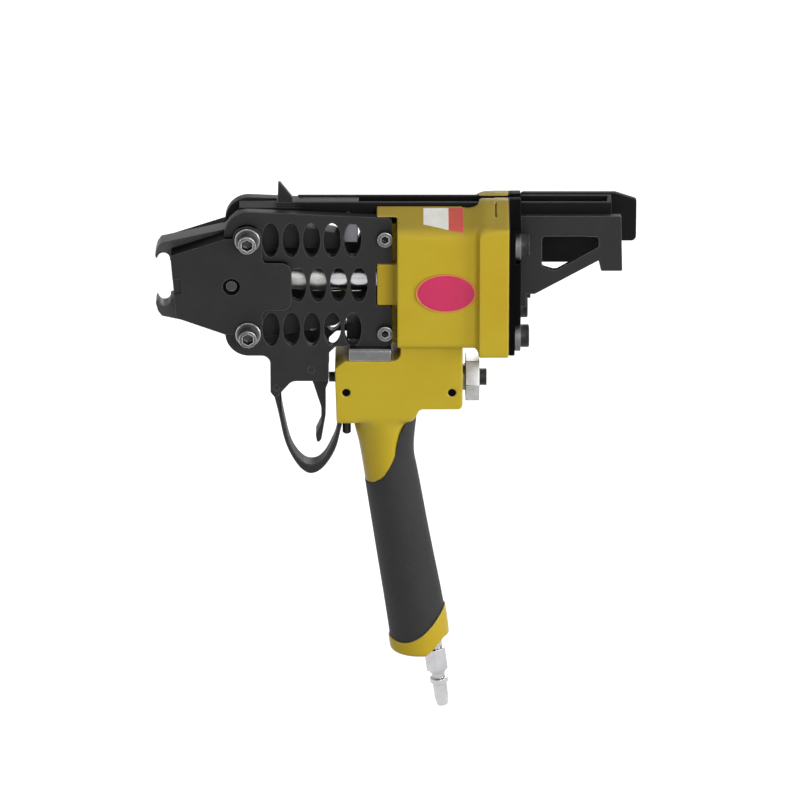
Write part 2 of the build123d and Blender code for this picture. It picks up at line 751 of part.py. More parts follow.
def pivot_ring(y0, y1):
    ring = shaft_y(SPACER_R, y0, y1, PIVOT_X, PIVOT_Z)
    return ring - shaft_y(PIVOT_R + FIT, y0, y1, PIVOT_X, PIVOT_Z)


# Air cylinder
def house(half, eave, ridge_half, ridge, bottom, eave_r, edge_r):
    """Cross-section with upright sides, a sloping roof and a flat ridge."""
    points = [
        (-half, bottom),
        (half, bottom),
        (half, eave),
        (ridge_half, ridge),
        (-ridge_half, ridge),
        (-half, eave),
    ]
    return outline(points, [edge_r, edge_r, eave_r, 0, 0, eave_r])


def body_section():
    return house(
        BODY_HALF, BODY_EAVE, BODY_RIDGE_HALF, BODY_RIDGE, BODY_BELLY, BODY_EAVE_R, BODY_EDGE_R
    )


def flange_section():
    return house(
        FLANGE_HALF,
        FLANGE_EAVE,
        FLANGE_RIDGE_HALF,
        FLANGE_RIDGE,
        FLANGE_BOTTOM,
        FLANGE_EDGE_R,
        FLANGE_EDGE_R,
    )


def flange_roof(y):
    """Height of the flange's sloping roof."""
    share = (y - FLANGE_RIDGE_HALF) / (FLANGE_HALF - FLANGE_RIDGE_HALF)
    return FLANGE_RIDGE + share * (FLANGE_EAVE - FLANGE_RIDGE)


def roof_slot():
    """Narrow slot down the near slope of the flange's roof."""
    face = Polygon(
        (-ROOF_SLOT_OUT, flange_roof(ROOF_SLOT_OUT) - ROOF_SLOT_DEPTH),
        (-ROOF_SLOT_IN, flange_roof(ROOF_SLOT_IN) - ROOF_SLOT_DEPTH),
        (-ROOF_SLOT_IN, FLANGE_RIDGE),
        (-ROOF_SLOT_OUT, FLANGE_RIDGE),
        align=None,
    )
    return bar(face, ROOF_SLOT_X - ROOF_SLOT_W / 2, ROOF_SLOT_X + ROOF_SLOT_W / 2)


def flare():
    """Swelling from the barrel to the flange: the roof rises in a curve and the sides step out last."""
    faces = []
    side_start = 1 - SIDE_FLARE_L / ROOF_FLARE_L
    for i in range(FLARE_STEPS + 1):
        angle = math.pi / 2 * i / FLARE_STEPS
        along = math.sin(angle)
        roof = 1 - math.cos(angle)
        side = max(0, (along - side_start) / (1 - side_start))
        face = house(
            BODY_HALF + side * (FLANGE_HALF - BODY_HALF),
            BODY_EAVE + roof * (FLANGE_EAVE - BODY_EAVE),
            BODY_RIDGE_HALF + roof * (FLANGE_RIDGE_HALF - BODY_RIDGE_HALF),
            BODY_RIDGE + roof * (FLANGE_RIDGE - BODY_RIDGE),
            BODY_BELLY + side * (FLANGE_BOTTOM - BODY_BELLY),
            BODY_EAVE_R + roof * (FLANGE_EDGE_R - BODY_EAVE_R),
            BODY_EDGE_R + side * (FLANGE_EDGE_R - BODY_EDGE_R),
        )
        faces.append(Plane.YZ.offset(FLANGE_FRONT - ROOF_FLARE_L * (1 - along)) * face)
    return loft(faces, ruled=True)


def magazine_tunnel(x0, x1):
    """Room for the magazine channel, and above it for the pusher's fin."""
    side = CHANNEL_HALF + GAP
    room = block(x0, x1, -side, side, CHANNEL_FLOOR, CHANNEL_TOP + GAP)
    return room + block(x0, x1, -FIN_SLOT / 2, FIN_SLOT / 2, CHANNEL_FLOOR, FIN_TOP)


def handle_form(grow):
    """Handle from the valve block to its lower end, thicker or thinner by an offset."""

    def section(x, z, half, depth):
        return Pos(x, 0, z) * Ellipse(half + grow, depth + grow)

    def between(start, end, share):
        return start + share * (end - start)

    flared = []
    gripped = []
    for i in range(HANDLE_STEPS + 1):
        share = i / HANDLE_STEPS
        eased = share * share * (3 - 2 * share)
        flared.append(
            section(
                between(HANDLE_TOP_X, HANDLE_NECK_X, share * share),
                between(HANDLE_TOP, HANDLE_NECK, share),
                between(HANDLE_TOP_HALF, HANDLE_NECK_HALF, eased),
                between(HANDLE_TOP_DEPTH, HANDLE_DEPTH, eased),
            )
        )
        gripped.append(
            section(
                between(HANDLE_NECK_X, HANDLE_SWELL_X, share),
                between(HANDLE_NECK, HANDLE_SWELL, share),
                between(HANDLE_NECK_HALF, HANDLE_SWELL_HALF, share),
                HANDLE_DEPTH,
            )
        )
    gripped.append(section(HANDLE_END_X, HANDLE_END, HANDLE_END_HALF, HANDLE_DEPTH))
    return loft(flared) + loft(gripped)


def handle_part(z0, z1):
    """Room round the handle between two heights."""
    return block(BLOCK_FRONT, FLANGE_REAR, -BODY_HALF, BODY_HALF, z0, z1)


def grip_region():
    """Side outline of the part of the handle that rubber covers."""
    top_rear = (TONGUE_REAR_X, TONGUE_REAR_Z)
    top_front = (TONGUE_FRONT_X, TONGUE_FRONT_Z)
    low_front = (GRIP_LOW_FRONT_X, GRIP_LOW_FRONT_Z)
    low_rear = (GRIP_LOW_REAR_X, GRIP_LOW_REAR_Z)
    edge_top = Spline(
        top_rear,
        (TONGUE_BACK_X, TONGUE_BACK_Z),
        (TONGUE_SIDE_X, TONGUE_SIDE_Z),
        (TONGUE_LOW_X, TONGUE_LOW_Z),
        top_front,
    )
    edge_low = Spline(low_front, (GRIP_LOW_X, GRIP_LOW_Z), (GRIP_HEEL_X, GRIP_HEEL_Z), low_rear)
    front = Polyline(top_front, (GRIP_FRONT_X, GRIP_FRONT_Z), low_front)
    back = Polyline(low_rear, (GRIP_BACK_X, GRIP_BACK_Z), top_rear)
    return make_face(edge_top.edges() + front.edges() + edge_low.edges() + back.edges())


def valve_block():
    root_x = BODY_FRONT + BLOCK_ROOT_L
    root_z = BODY_BELLY + BODY_EDGE_R
    profile = outline(
        [
            (BLOCK_FRONT, BLOCK_TOP - BLOCK_NOSE_H),
            (BLOCK_FRONT + BLOCK_NOSE_L, BLOCK_TOP),
            (root_x, BLOCK_TOP),
            (root_x, root_z),
            (BLOCK_REAR, root_z),
            (BLOCK_REAR, BLOCK_STEP_Z),
            (BLOCK_STEP_X, BLOCK_STEP_Z),
            (BLOCK_STEP_X - BLOCK_STEP_L, BLOCK_BOTTOM),
            (BLOCK_FRONT + BLOCK_TOE, BLOCK_BOTTOM),
        ],
        [BLOCK_EDGE_R, BLOCK_CROWN_R, BLOCK_ROOT_R, 0, 0, BLOCK_EDGE_R, BLOCK_EDGE_R, 0, BLOCK_TOE_R],
    )
    section = outline(
        [
            (-BLOCK_HALF, BLOCK_BOTTOM),
            (BLOCK_HALF, BLOCK_BOTTOM),
            (BLOCK_HALF, 0),
            (-BLOCK_HALF, 0),
        ],
        [BLOCK_EDGE_R, BLOCK_EDGE_R, 0, 0],
    )
    return slab(profile, -BLOCK_HALF, BLOCK_HALF) & bar(section, BLOCK_FRONT, BLOCK_REAR)


def cylinder_body():
    """Yellow casting: barrel, rear flange, front boss, valve block and handle core."""
    body = bar(body_section(), BODY_FRONT, FLANGE_FRONT)
    body += bar(flange_section(), FLANGE_FRONT, FLANGE_REAR)
    body += flare()
    body += valve_block()
    body += block(BOSS_FRONT, BODY_FRONT, -PLATE_IN, PLATE_IN, PLATE_SHELF, CHANNEL_FLOOR)
    tongue = NOTCH_HALF - GAP
    body += block(BOSS_FRONT, BODY_FRONT, -PLATE_OUT, PLATE_OUT, -tongue, tongue)
    lip_low = plate_top(BOSS_FRONT) + GAP
    lip = bar(body_section(), BOSS_FRONT, BODY_FRONT)
    body += lip & block(BOSS_FRONT, BODY_FRONT, -BODY_HALF, BODY_HALF, lip_low, BODY_RIDGE)
    bare = handle_form(0) - slab(grip_region(), -BODY_HALF, BODY_HALF)
    body += bare & handle_part(TONGUE_BOTTOM, HANDLE_TOP)
    body += handle_form(-GRIP_WALL) & handle_part(CORE_BOTTOM, HANDLE_TOP)
    body -= magazine_tunnel(BOSS_FRONT, FLANGE_REAR)
    body -= roof_slot()
    body -= shaft_x(BORE_R, BORE_FRONT, FLANGE_REAR)
    body -= shaft_x(BUSH_R + FIT, BOSS_FRONT, BUSH_REAR)
    body -= shaft_x(ROD_SEAL_R + FIT, BUSH_REAR, BORE_FRONT)
    body -= shaft_x(VALVE_BORE_R + FIT, BLOCK_FRONT + VALVE_WALL, BLOCK_REAR, z=VALVE_Z)
    body -= shaft_x(STEM_R + FIT + RUN, BLOCK_FRONT, BLOCK_FRONT + VALVE_WALL, z=VALVE_Z)
    for hole in cap_holes(FLANGE_REAR - CAP_BOLT_DEPTH, FLANGE_REAR, CAP_BOLT_R + FIT):
        body -= hole
    for z in (SCREW_Z, -SCREW_Z):
        body -= shaft_y(SCREW_R + FIT, -PLATE_IN, PLATE_IN, SCREW_X, z)
    for x in (SET_SCREW_FRONT, SET_SCREW_REAR):
        body -= shaft_y(SET_SCREW_R + FIT, -BLOCK_HALF, BLOCK_HALF, x, SET_SCREW_Z)
    screw_hole = Cylinder(GUARD_SCREW_R + FIT, GUARD_SCREW_DEPTH)
    body -= Pos(GUARD_SCREW_X, 0, BLOCK_BOTTOM + GUARD_SCREW_DEPTH / 2) * screw_hole
    return body - airway()


def airway():
    """Air passage up the handle, from its lower end to the valve bore."""
    plane = airway_plane()
    rise = (VALVE_Z - VALVE_BORE_R - CORE_BOTTOM) / plane.z_dir.Z
    return extrude(plane * Circle(AIRWAY_R), rise)


def airway_plane():
    """Plane across the passage at its lower end, facing up the handle."""
    low = Vector(AIRWAY_LOW_X, 0, CORE_BOTTOM)
    top = Vector(AIRWAY_TOP_X, 0, VALVE_Z - VALVE_BORE_R)
    return Plane(low, x_dir=(0, 1, 0), z_dir=top - low)


def cap_section():
    return house(
        CAP_HALF,
        FLANGE_EAVE,
        FLANGE_RIDGE_HALF,
        FLANGE_RIDGE,
        CAP_BOTTOM,
        FLANGE_EDGE_R,
        FLANGE_EDGE_R,
    )


def cap_holes(x0, x1, radius):
    """A round bar at each cap bolt."""
    places = [(y, z) for y in (-CAP_BOLT_Y, CAP_BOLT_Y) for z in (-CAP_BOLT_Z, CAP_BOLT_Z)]
    return [shaft_x(radius, x0, x1, y, z) for y, z in places]


def cap_seats():
    """Recess round each cap bolt, open to the side, and below the lower bolts open downwards."""
    radius = CAP_WASHER_R + GAP
    seats = cap_holes(CAP_SEAT, CAP_REAR, radius)
    for z in (-CAP_BOLT_Z, CAP_BOLT_Z):
        side = block(CAP_SEAT, CAP_REAR, -FLANGE_HALF, -CAP_BOLT_Y, z - radius, z + radius)
        seats += [side, mirrored(side)]
    under = block(CAP_SEAT, CAP_REAR, -FLANGE_HALF, -CAP_BOLT_Y + radius, FLANGE_BOTTOM, -CAP_BOLT_Z)
    return seats + [under, mirrored(under)]


def rear_cap():
    cap = bar(cap_section(), CAP_FRONT, CAP_REAR) - magazine_tunnel(CAP_FRONT, CAP_REAR)
    for hole in cap_holes(CAP_FRONT, CAP_REAR, CAP_BOLT_R + FIT):
        cap -= hole
    for seat in cap_seats():
        cap -= seat
    for y in (-MAG_SCREW_Y, MAG_SCREW_Y):
        for z in (MAG_SCREW_TOP, MAG_SCREW_LOW):
            cap -= shaft_x(MAG_SCREW_R + FIT, CAP_REAR - MAG_SCREW_DEPTH, CAP_REAR, y, z)
    return cap


def cap_gasket():
    sheet = bar(cap_section(), FLANGE_REAR, CAP_FRONT) - magazine_tunnel(FLANGE_REAR, CAP_FRONT)
    sheet -= shaft_x(BORE_R, FLANGE_REAR, CAP_FRONT)
    for hole in cap_holes(FLANGE_REAR, CAP_FRONT, CAP_BOLT_R + FIT):
        sheet -= hole
    return sheet


def cap_bolts():
    rear = CAP_HEAD_SEAT + CAP_HEAD_H
    bolts = []
    shanks = cap_holes(FLANGE_REAR - CAP_BOLT_DEPTH + GAP, CAP_HEAD_SEAT, CAP_BOLT_R)
    heads = cap_holes(CAP_HEAD_SEAT, rear, CAP_HEAD_R)
    for shank, head in zip(shanks, heads):
        middle = head.center()
        socket = Pos(middle.Y, middle.Z) * hexagon(CAP_SOCKET_AF)
        bolts.append(shank + head - bar(socket, rear - CAP_SOCKET_DEPTH, rear))
    return group(*bolts)


def cap_washers():
    outer = cap_holes(CAP_SEAT, CAP_HEAD_SEAT, CAP_WASHER_R)
    inner = cap_holes(CAP_SEAT, CAP_HEAD_SEAT, CAP_BOLT_R + FIT)
    return group(*[disc - hole for disc, hole in zip(outer, inner)])


def plate_screw(z):
    tip_y = -PLATE_OUT - SCREW_HEAD_H
    head = shaft_y(SCREW_HEAD_R, tip_y, -PLATE_OUT, SCREW_X, z)
    head = chamfer(head.edges().sort_by(Axis.Y)[0], SCREW_HEAD_EDGE)
    socket = Pos(SCREW_X, z) * hexagon(SCREW_SOCKET_AF)
    head -= slab(socket, tip_y, tip_y + SCREW_SOCKET_DEPTH)
    return head + shaft_y(SCREW_R, -PLATE_OUT, -PLATE_IN + SCREW_DEPTH, SCREW_X, z)


def tube_x(outer_r, inner_r, x0, x1, z=0.0):
    """Round sleeve along X."""
    return shaft_x(outer_r, x0, x1, z=z) - shaft_x(inner_r, x0, x1, z=z)


def piston_rod():
    rod = shaft_x(ROD_R, WEDGE_REAR, PISTON_FRONT)
    rod += shaft_x(ROD_SPIGOT_R, WEDGE_REAR - ROD_SPIGOT_L + GAP, WEDGE_REAR)
    rod += shaft_x(ROD_NECK_R, PISTON_FRONT, PISTON_REAR - GAP)
    return rod - shaft_y(WEDGE_PIN_R + FIT, -ROD_R, ROD_R, WEDGE_REAR - ROD_SPIGOT_L / 2, 0)


def piston():
    head = tube_x(BORE_R - PISTON_RUN, ROD_NECK_R + FIT, PISTON_FRONT, PISTON_REAR)
    middle = (PISTON_FRONT + PISTON_REAR) / 2
    groove_x = middle - PISTON_SEAL_W / 2
    groove_r = BORE_R - PISTON_RUN - PISTON_SEAL_D
    head -= tube_x(BORE_R, groove_r, groove_x, groove_x + PISTON_SEAL_W)
    pocket_r = PISTON_NUT_AF / math.sqrt(3) + GAP
    return head - shaft_x(pocket_r, PISTON_REAR - PISTON_NUT_H, PISTON_REAR)


def piston_seal():
    middle = (PISTON_FRONT + PISTON_REAR) / 2
    groove_x = middle - PISTON_SEAL_W / 2
    inner = BORE_R - PISTON_RUN - PISTON_SEAL_D + FIT
    return tube_x(BORE_R - RUN, inner, groove_x, groove_x + PISTON_SEAL_W)


def piston_nut():
    nut = bar(hexagon(PISTON_NUT_AF), PISTON_REAR - PISTON_NUT_H, PISTON_REAR)
    return nut - shaft_x(ROD_NECK_R + FIT, PISTON_REAR - PISTON_NUT_H, PISTON_REAR)


# Valve
def sleeve_grooves():
    """Front edge of each seal groove on the valve sleeve."""
    first = BLOCK_FRONT + VALVE_WALL + VALVE_SEAL_SET
    step = (SLEEVE_REAR - VALVE_SEAL_SET - VALVE_SEAL_W - first) / (VALVE_SEALS - 1)
    return [first + i * step for i in range(VALVE_SEALS)]


def valve_sleeve():
    sleeve = tube_x(VALVE_BORE_R, SPOOL_R + RUN, BLOCK_FRONT + VALVE_WALL, SLEEVE_REAR, VALVE_Z)
    for x in sleeve_grooves():
        sleeve -= tube_x(VALVE_BORE_R, VALVE_BORE_R - VALVE_SEAL_D, x, x + VALVE_SEAL_W, VALVE_Z)
    return sleeve


def valve_seals():
    inner = VALVE_BORE_R - VALVE_SEAL_D + FIT
    rings = [tube_x(VALVE_BORE_R, inner, x, x + VALVE_SEAL_W, VALVE_Z) for x in sleeve_grooves()]
    return group(*rings)


def valve_spool():
    """Spool from the trigger stem to the tail that shows behind the plug."""
    collar_x = SLEEVE_REAR + SPOOL_COLLAR_GAP
    shoulder_x = BLOCK_FRONT + VALVE_WALL + SPOOL_SHOULDER
    spool = shaft_x(STEM_R, STEM_FRONT, shoulder_x, z=VALVE_Z)
    spool += shaft_x(SPOOL_R, shoulder_x, TAIL_REAR, z=VALVE_Z)
    spool += shaft_x(SPOOL_COLLAR_R, collar_x, collar_x + SPOOL_COLLAR_T, z=VALVE_Z)
    for set_back in (SPOOL_WAIST_FRONT, SPOOL_WAIST_REAR):
        waist = BLOCK_FRONT + set_back
        spool -= tube_x(SPOOL_R, SPOOL_WAIST_R, waist, waist + SPOOL_WAIST_L, VALVE_Z)
    return spool


def valve_spring():
    front = SLEEVE_REAR + SPOOL_COLLAR_GAP + SPOOL_COLLAR_T + GAP
    rear = BLOCK_REAR - PLUG_SHANK_L - GAP
    inner = SPOOL_R + GAP
    return tube_x(inner + VALVE_SPRING_WIRE, inner, front, rear, VALVE_Z)


def valve_plug():
    hex_x = BLOCK_REAR + PLUG_NECK_L
    plug = shaft_x(VALVE_BORE_R, BLOCK_REAR - PLUG_SHANK_L, hex_x, z=VALVE_Z)
    plug += bar(Pos(0, VALVE_Z) * hexagon(PLUG_HEX_AF), hex_x, hex_x + PLUG_HEX_L)
    return plug - shaft_x(SPOOL_R + RUN, BLOCK_REAR - PLUG_SHANK_L, hex_x + PLUG_HEX_L, z=VALVE_Z)


def set_screws():
    screws = []
    for x in (SET_SCREW_FRONT, SET_SCREW_REAR):
        y0 = -BLOCK_HALF + SET_SCREW_SUNK
        screw = shaft_y(SET_SCREW_R, y0, -SET_SCREW_SEAT, x, SET_SCREW_Z)
        screws += [screw, mirrored(screw)]
    return group(*screws)


# Handle
def grip():
    rubber = handle_form(0) & slab(grip_region(), -BODY_HALF, BODY_HALF)
    rubber -= handle_form(-GRIP_WALL)
    return rubber - valve_block()


def air_plug_plane():
    tilt = math.radians(AIR_PLUG_TILT)
    axis = (math.sin(tilt), 0, -math.cos(tilt))
    return Plane((AIR_PLUG_X, 0, AIR_PLUG_Z), x_dir=(0, 1, 0), z_dir=axis)


def handle_end_cap():
    """Yellow cap on the lower end, cut back at its rear where the air plug screws in."""
    cap = handle_form(END_CAP_LIP) & handle_part(END_CAP_BOTTOM, END_CAP_TOP)
    cap = fillet(cap.edges().group_by(Axis.Z)[0], END_CAP_EDGE_R)
    cap -= slab(grip_region(), -BODY_HALF, BODY_HALF)
    cap -= handle_form(-GRIP_WALL) & handle_part(CORE_BOTTOM, END_CAP_TOP)
    cap -= extrude(airway_plane().offset(-AIR_PLUG_SHANK_R) * Circle(AIR_PLUG_BORE_R), 2 * AIR_PLUG_SHANK_R)
    cut = outline(
        [
            (END_CUT_FRONT, END_CAP_BOTTOM - GAP),
            (END_CUT_REAR, END_CUT_TOP),
            (FLANGE_REAR, END_CUT_TOP),
            (FLANGE_REAR, END_CAP_BOTTOM - GAP),
        ]
    )
    cap -= slab(cut, -BODY_HALF, BODY_HALF)
    plane = air_plug_plane()
    cap -= plane * Pos(0, 0, -AIR_PLUG_SHANK_L / 2) * Cylinder(AIR_PLUG_SHANK_R + FIT, AIR_PLUG_SHANK_L)
    relief_r = AIR_PLUG_HEX_AF / math.sqrt(3) + GAP
    return cap - plane * Pos(0, 0, AIR_PLUG_HEX_L / 2) * Cylinder(relief_r, AIR_PLUG_HEX_L)


def air_plug():
    plane = air_plug_plane()
    collar = AIR_PLUG_HEX_L + AIR_PLUG_COLLAR_L
    ring = collar + AIR_PLUG_NECK_L
    pin = ring + AIR_PLUG_RING_L
    tip = pin + AIR_PLUG_PIN_L
    end = tip + AIR_PLUG_TIP_L
    profile = Polygon(
        (AIR_PLUG_BORE_R, -AIR_PLUG_SHANK_L),
        (AIR_PLUG_SHANK_R, -AIR_PLUG_SHANK_L),
        (AIR_PLUG_SHANK_R, collar),
        (AIR_PLUG_NECK_R, collar),
        (AIR_PLUG_NECK_R, ring),
        (AIR_PLUG_RING_R, ring),
        (AIR_PLUG_RING_R, pin),
        (AIR_PLUG_PIN_R, pin),
        (AIR_PLUG_PIN_R, tip),
        (AIR_PLUG_TIP_R, end),
        (AIR_PLUG_BORE_R, end),
        align=None,
    )
    turned = revolve(Plane.XZ * profile, Axis.Z)
    nut = extrude(hexagon(AIR_PLUG_HEX_AF) - Circle(AIR_PLUG_BORE_R), AIR_PLUG_HEX_L)
    return plane * (turned + nut)


def inlet_filter():
    gauze = Circle(AIRWAY_R - FIT) - Circle(AIRWAY_R - FILTER_WALL)
    return extrude(airway_plane().offset(FILTER_RISE) * gauze, FILTER_L)


# Trigger and guard
def trigger():
    pad_x = STEM_FRONT - GAP
    blade = outline(
        [
            (TRIGGER_PIN_X - TRIGGER_ROOT, TRIGGER_PIN_Z - TRIGGER_ROOT_SKEW),
            (TRIGGER_NECK_X, TRIGGER_NECK_Z),
            (TRIGGER_FACE_X, TRIGGER_FACE_TOP),
            (TRIGGER_FACE_X, TRIGGER_FACE_LOW),
            (TRIGGER_HOOK_X, TRIGGER_HOOK_Z),
            (TRIGGER_TIP_X, TRIGGER_TIP_Z),
            (TRIGGER_HEEL_X, TRIGGER_HEEL_Z),
            (TRIGGER_BACK_X, TRIGGER_BACK_LOW),
            (TRIGGER_BACK_X, TRIGGER_BACK_TOP),
            (pad_x, VALVE_Z - TRIGGER_PAD_LOW),
            (pad_x, VALVE_Z + TRIGGER_PAD_HIGH),
            (TRIGGER_PIN_X + TRIGGER_ROOT, TRIGGER_PIN_Z + TRIGGER_ROOT_SKEW),
        ],
        [0, TRIGGER_NECK_R, TRIGGER_FACE_R, TRIGGER_NECK_R, TRIGGER_HOOK_R, TRIGGER_TIP_R]
        + [TRIGGER_TIP_R, TRIGGER_FACE_R, TRIGGER_HOOK_R, TRIGGER_TIP_R, TRIGGER_TIP_R, 0],
    )
    solid = slab(blade, -TRIGGER_T / 2, TRIGGER_T / 2)
    hub = PLATE_IN - GAP
    solid += shaft_y(TRIGGER_HUB_R, -hub, hub, TRIGGER_PIN_X, TRIGGER_PIN_Z)
    return solid - shaft_y(TRIGGER_PIN_R + RUN, -hub, hub, TRIGGER_PIN_X, TRIGGER_PIN_Z)


def cross_pin(radius, x, z):
    return shaft_y(radius, -PLATE_OUT, PLATE_OUT, x, z)


def guard_strip():
    """Side outline of the guard's bent strip."""
    foot_z = BLOCK_BOTTOM - GUARD_T / 2
    corners = [
        (GUARD_FRONT, LUG_TIP - 2 * GAP),
        (GUARD_CHEEK_X, GUARD_CHEEK_Z),
        (GUARD_BOTTOM_X, GUARD_BOTTOM_Z),
        (GUARD_HEEL_X, GUARD_HEEL_Z),
        (GUARD_REAR, foot_z),
        (GUARD_FOOT_REAR, foot_z),
    ]
    return ribbon(corners, [0, GUARD_CHEEK_R, GUARD_BOTTOM_R, GUARD_CHEEK_R, GUARD_FOOT_R, 0], GUARD_T)


def ribbon(corners, bends, thickness):
    """Face of a bent strip, from the corners of its middle line and the radius of each bend."""
    left = []
    right = []
    left_r = []
    right_r = []
    points = [Vector(*corner) for corner in corners]
    last = len(points) - 1
    for i, point in enumerate(points):
        before = (points[max(i, 1)] - points[max(i, 1) - 1]).normalized()
        after = (points[min(i, last - 1) + 1] - points[min(i, last - 1)]).normalized()
        side = Vector(-before.Y - after.Y, before.X + after.X) / (1 + before.dot(after))
        turn = math.copysign(thickness / 2, before.cross(after).Z) if bends[i] else 0
        left.append(point + side * (thickness / 2))
        right.append(point - side * (thickness / 2))
        left_r.append(bends[i] - turn)
        right_r.append(bends[i] + turn)
    return outline(left + right[::-1], left_r + right_r[::-1])


def trigger_guard():
    strip = slab(guard_strip(), -GUARD_W / 2, GUARD_W / 2)
    eye_end = LUG_TIP - GUARD_EYE_L
    eye = link(GUARD_PIN_X, GUARD_PIN_Z, GUARD_EYE_R, GUARD_FRONT, eye_end, GUARD_T / 2)
    tab = PLATE_IN - GAP
    guard = strip + slab(eye, -tab, tab) - handle_form(GAP)
    guard -= shaft_y(GUARD_PIN_R + FIT, -tab, tab, GUARD_PIN_X, GUARD_PIN_Z)
    hole = Cylinder(GUARD_SCREW_R + FIT, 2 * GUARD_T)
    return guard - Pos(GUARD_SCREW_X, 0, BLOCK_BOTTOM - GUARD_T / 2) * hole


def guard_screw():
    top = BLOCK_BOTTOM + GUARD_SCREW_DEPTH - GAP
    seat = BLOCK_BOTTOM - GUARD_T
    shank = Pos(GUARD_SCREW_X, 0, (top + seat) / 2) * Cylinder(GUARD_SCREW_R, top - seat)
    head = Pos(GUARD_SCREW_X, 0, seat - GUARD_HEAD_H / 2) * Cylinder(GUARD_HEAD_R, GUARD_HEAD_H)
    return shank + chamfer(head.edges().sort_by(Axis.Z)[0], GUARD_HEAD_EDGE)


# Ring magazine
def magazine_channel():
    """Ring track at the front, running into a deeper trough to the rear."""
    rear = CHANNEL_REAR - CHANNEL_WALL
    track = block(TRACK_FRONT, CHANNEL_DROP, -TRACK_HALF, TRACK_HALF, TRACK_Z, TRACK_TOP)
    trough = block(CHANNEL_DROP, CHANNEL_REAR, -CHANNEL_HALF, CHANNEL_HALF, CHANNEL_FLOOR, TRACK_TOP)
    walls = outline(
        [
            (CHANNEL_FRONT + CHANNEL_RAKE, TRACK_Z),
            (CHANNEL_REAR, TRACK_Z),
            (CHANNEL_REAR, CHANNEL_TOP),
            (CHANNEL_FRONT, CHANNEL_TOP),
        ]
    )
    channel = track + trough + slab(walls, -CHANNEL_HALF, CHANNEL_HALF)
    channel -= block(TRACK_FRONT, rear, -CHANNEL_IN, CHANNEL_IN, TRACK_TOP, CHANNEL_TOP)
    channel -= block(CHANNEL_DROP, rear, -CHANNEL_IN, CHANNEL_IN, TROUGH_FLOOR, CHANNEL_TOP)
    return channel - shaft_y(FEED_PIN_R + FIT, -CHANNEL_HALF, CHANNEL_HALF, FEED_ROLL_X, FEED_ROLL_Z)


def pusher():
    side = CHANNEL_IN - GAP
    low = TRACK_TOP + GAP
    high = low + PUSHER_T
    shoe = block(PUSHER_FRONT, PUSHER_REAR, -side, side, low, high)
    shoe += block(PUSHER_REAR - PUSHER_HOOK_L, PUSHER_REAR, -side, side, BAND_Z, high)
    foot_x = PUSHER_FRONT + FIN_SET
    tip_x = foot_x + FIN_RAKE
    fin = outline(
        [
            (foot_x, low),
            (tip_x, FIN_TOP),
            (tip_x + FIN_TIP_L, FIN_TOP),
            (foot_x + FIN_L, high + FIN_FOOT_H),
            (foot_x + FIN_L, low),
        ]
    )
    return shoe + slab(fin, -FIN_T / 2, FIN_T / 2)


def feed_spring():
    """Rolled band that pulls the pusher forward, with the end of the band."""
    half = FEED_ROLL_W / 2
    roll = shaft_y(FEED_ROLL_R, -half, half, FEED_ROLL_X, FEED_ROLL_Z)
    top = FEED_ROLL_Z + FEED_ROLL_R
    band_end = PUSHER_REAR - PUSHER_HOOK_L - GAP
    roll += block(FEED_ROLL_X, band_end, -half, half, top - FEED_BAND_T, top)
    return roll - shaft_y(FEED_PIN_R + GAP, -half, half, FEED_ROLL_X, FEED_ROLL_Z)


def feed_pin():
    return shaft_y(FEED_PIN_R, -CHANNEL_HALF, CHANNEL_HALF, FEED_ROLL_X, FEED_ROLL_Z)


def magazine_rest():
    low = CHANNEL_FLOOR - REST_H
    return block(CHANNEL_DROP, CHANNEL_DROP + REST_L, -PLATE_IN, PLATE_IN, low, CHANNEL_FLOOR)


def near_bracket():
    """Bracket on the cap: a wall with a gusset and a rear leg, a base and a rear tie."""
    leg_x = BRACKET_REAR - BRACKET_LEG_L
    bar_z = BRACKET_TOP - BRACKET_BAR_H
    wall = outline(
        [
            (CAP_REAR, BRACKET_TOP),
            (BRACKET_REAR, BRACKET_TOP),
            (BRACKET_REAR + BRACKET_LEG_KICK, BRACKET_LEG_BOTTOM),
            (leg_x + BRACKET_LEG_TAPER, BRACKET_LEG_BOTTOM),
            (leg_x, BRACKET_LEG_BOTTOM + BRACKET_LEG_H),
            (CAP_REAR + BRACKET_TOE, BRACKET_HEEL_Z),
            (CAP_REAR, BRACKET_HEEL_Z),
        ],
        [0, BRACKET_EDGE_R, BRACKET_EDGE_R, BRACKET_EDGE_R, 0, BRACKET_TOE_R, 0],
    )
    window = outline(
        [
            (BASE_REAR + WINDOW_SET, bar_z),
            (leg_x, bar_z),
            (leg_x, BRACKET_LEG_BOTTOM + WINDOW_RISE),
            (BASE_REAR + WINDOW_TOE, BRACKET_LEG_BOTTOM),
            (BASE_REAR + WINDOW_SET, BRACKET_LEG_BOTTOM + WINDOW_STEP),
        ],
        [WINDOW_R, WINDOW_R, WINDOW_R, WINDOW_TOE_R, WINDOW_R],
    )
    far_y = BRACKET_HALF - BRACKET_WALL
    bracket = slab(wall - window, -BRACKET_HALF, -far_y)
    bracket += block(CAP_REAR, BASE_REAR, -BRACKET_HALF, far_y, BRACKET_BASE_BOTTOM, CHANNEL_FLOOR)
    tie_low = CHANNEL_FLOOR - TIE_H
    bracket += block(CHANNEL_REAR - TIE_L, CHANNEL_REAR, -BRACKET_HALF, far_y, tie_low, CHANNEL_FLOOR)
    for y in (-MAG_SCREW_Y, MAG_SCREW_Y):
        for z in (MAG_SCREW_TOP, MAG_SCREW_LOW):
            bracket -= shaft_x(MAG_SCREW_R + FIT, CAP_REAR, BASE_REAR, y, z)
    for x, z in far_screw_places():
        bracket -= shaft_y(MAG_SCREW_R + FIT, far_y - MAG_SCREW_DEPTH, far_y, x, z)
    return bracket


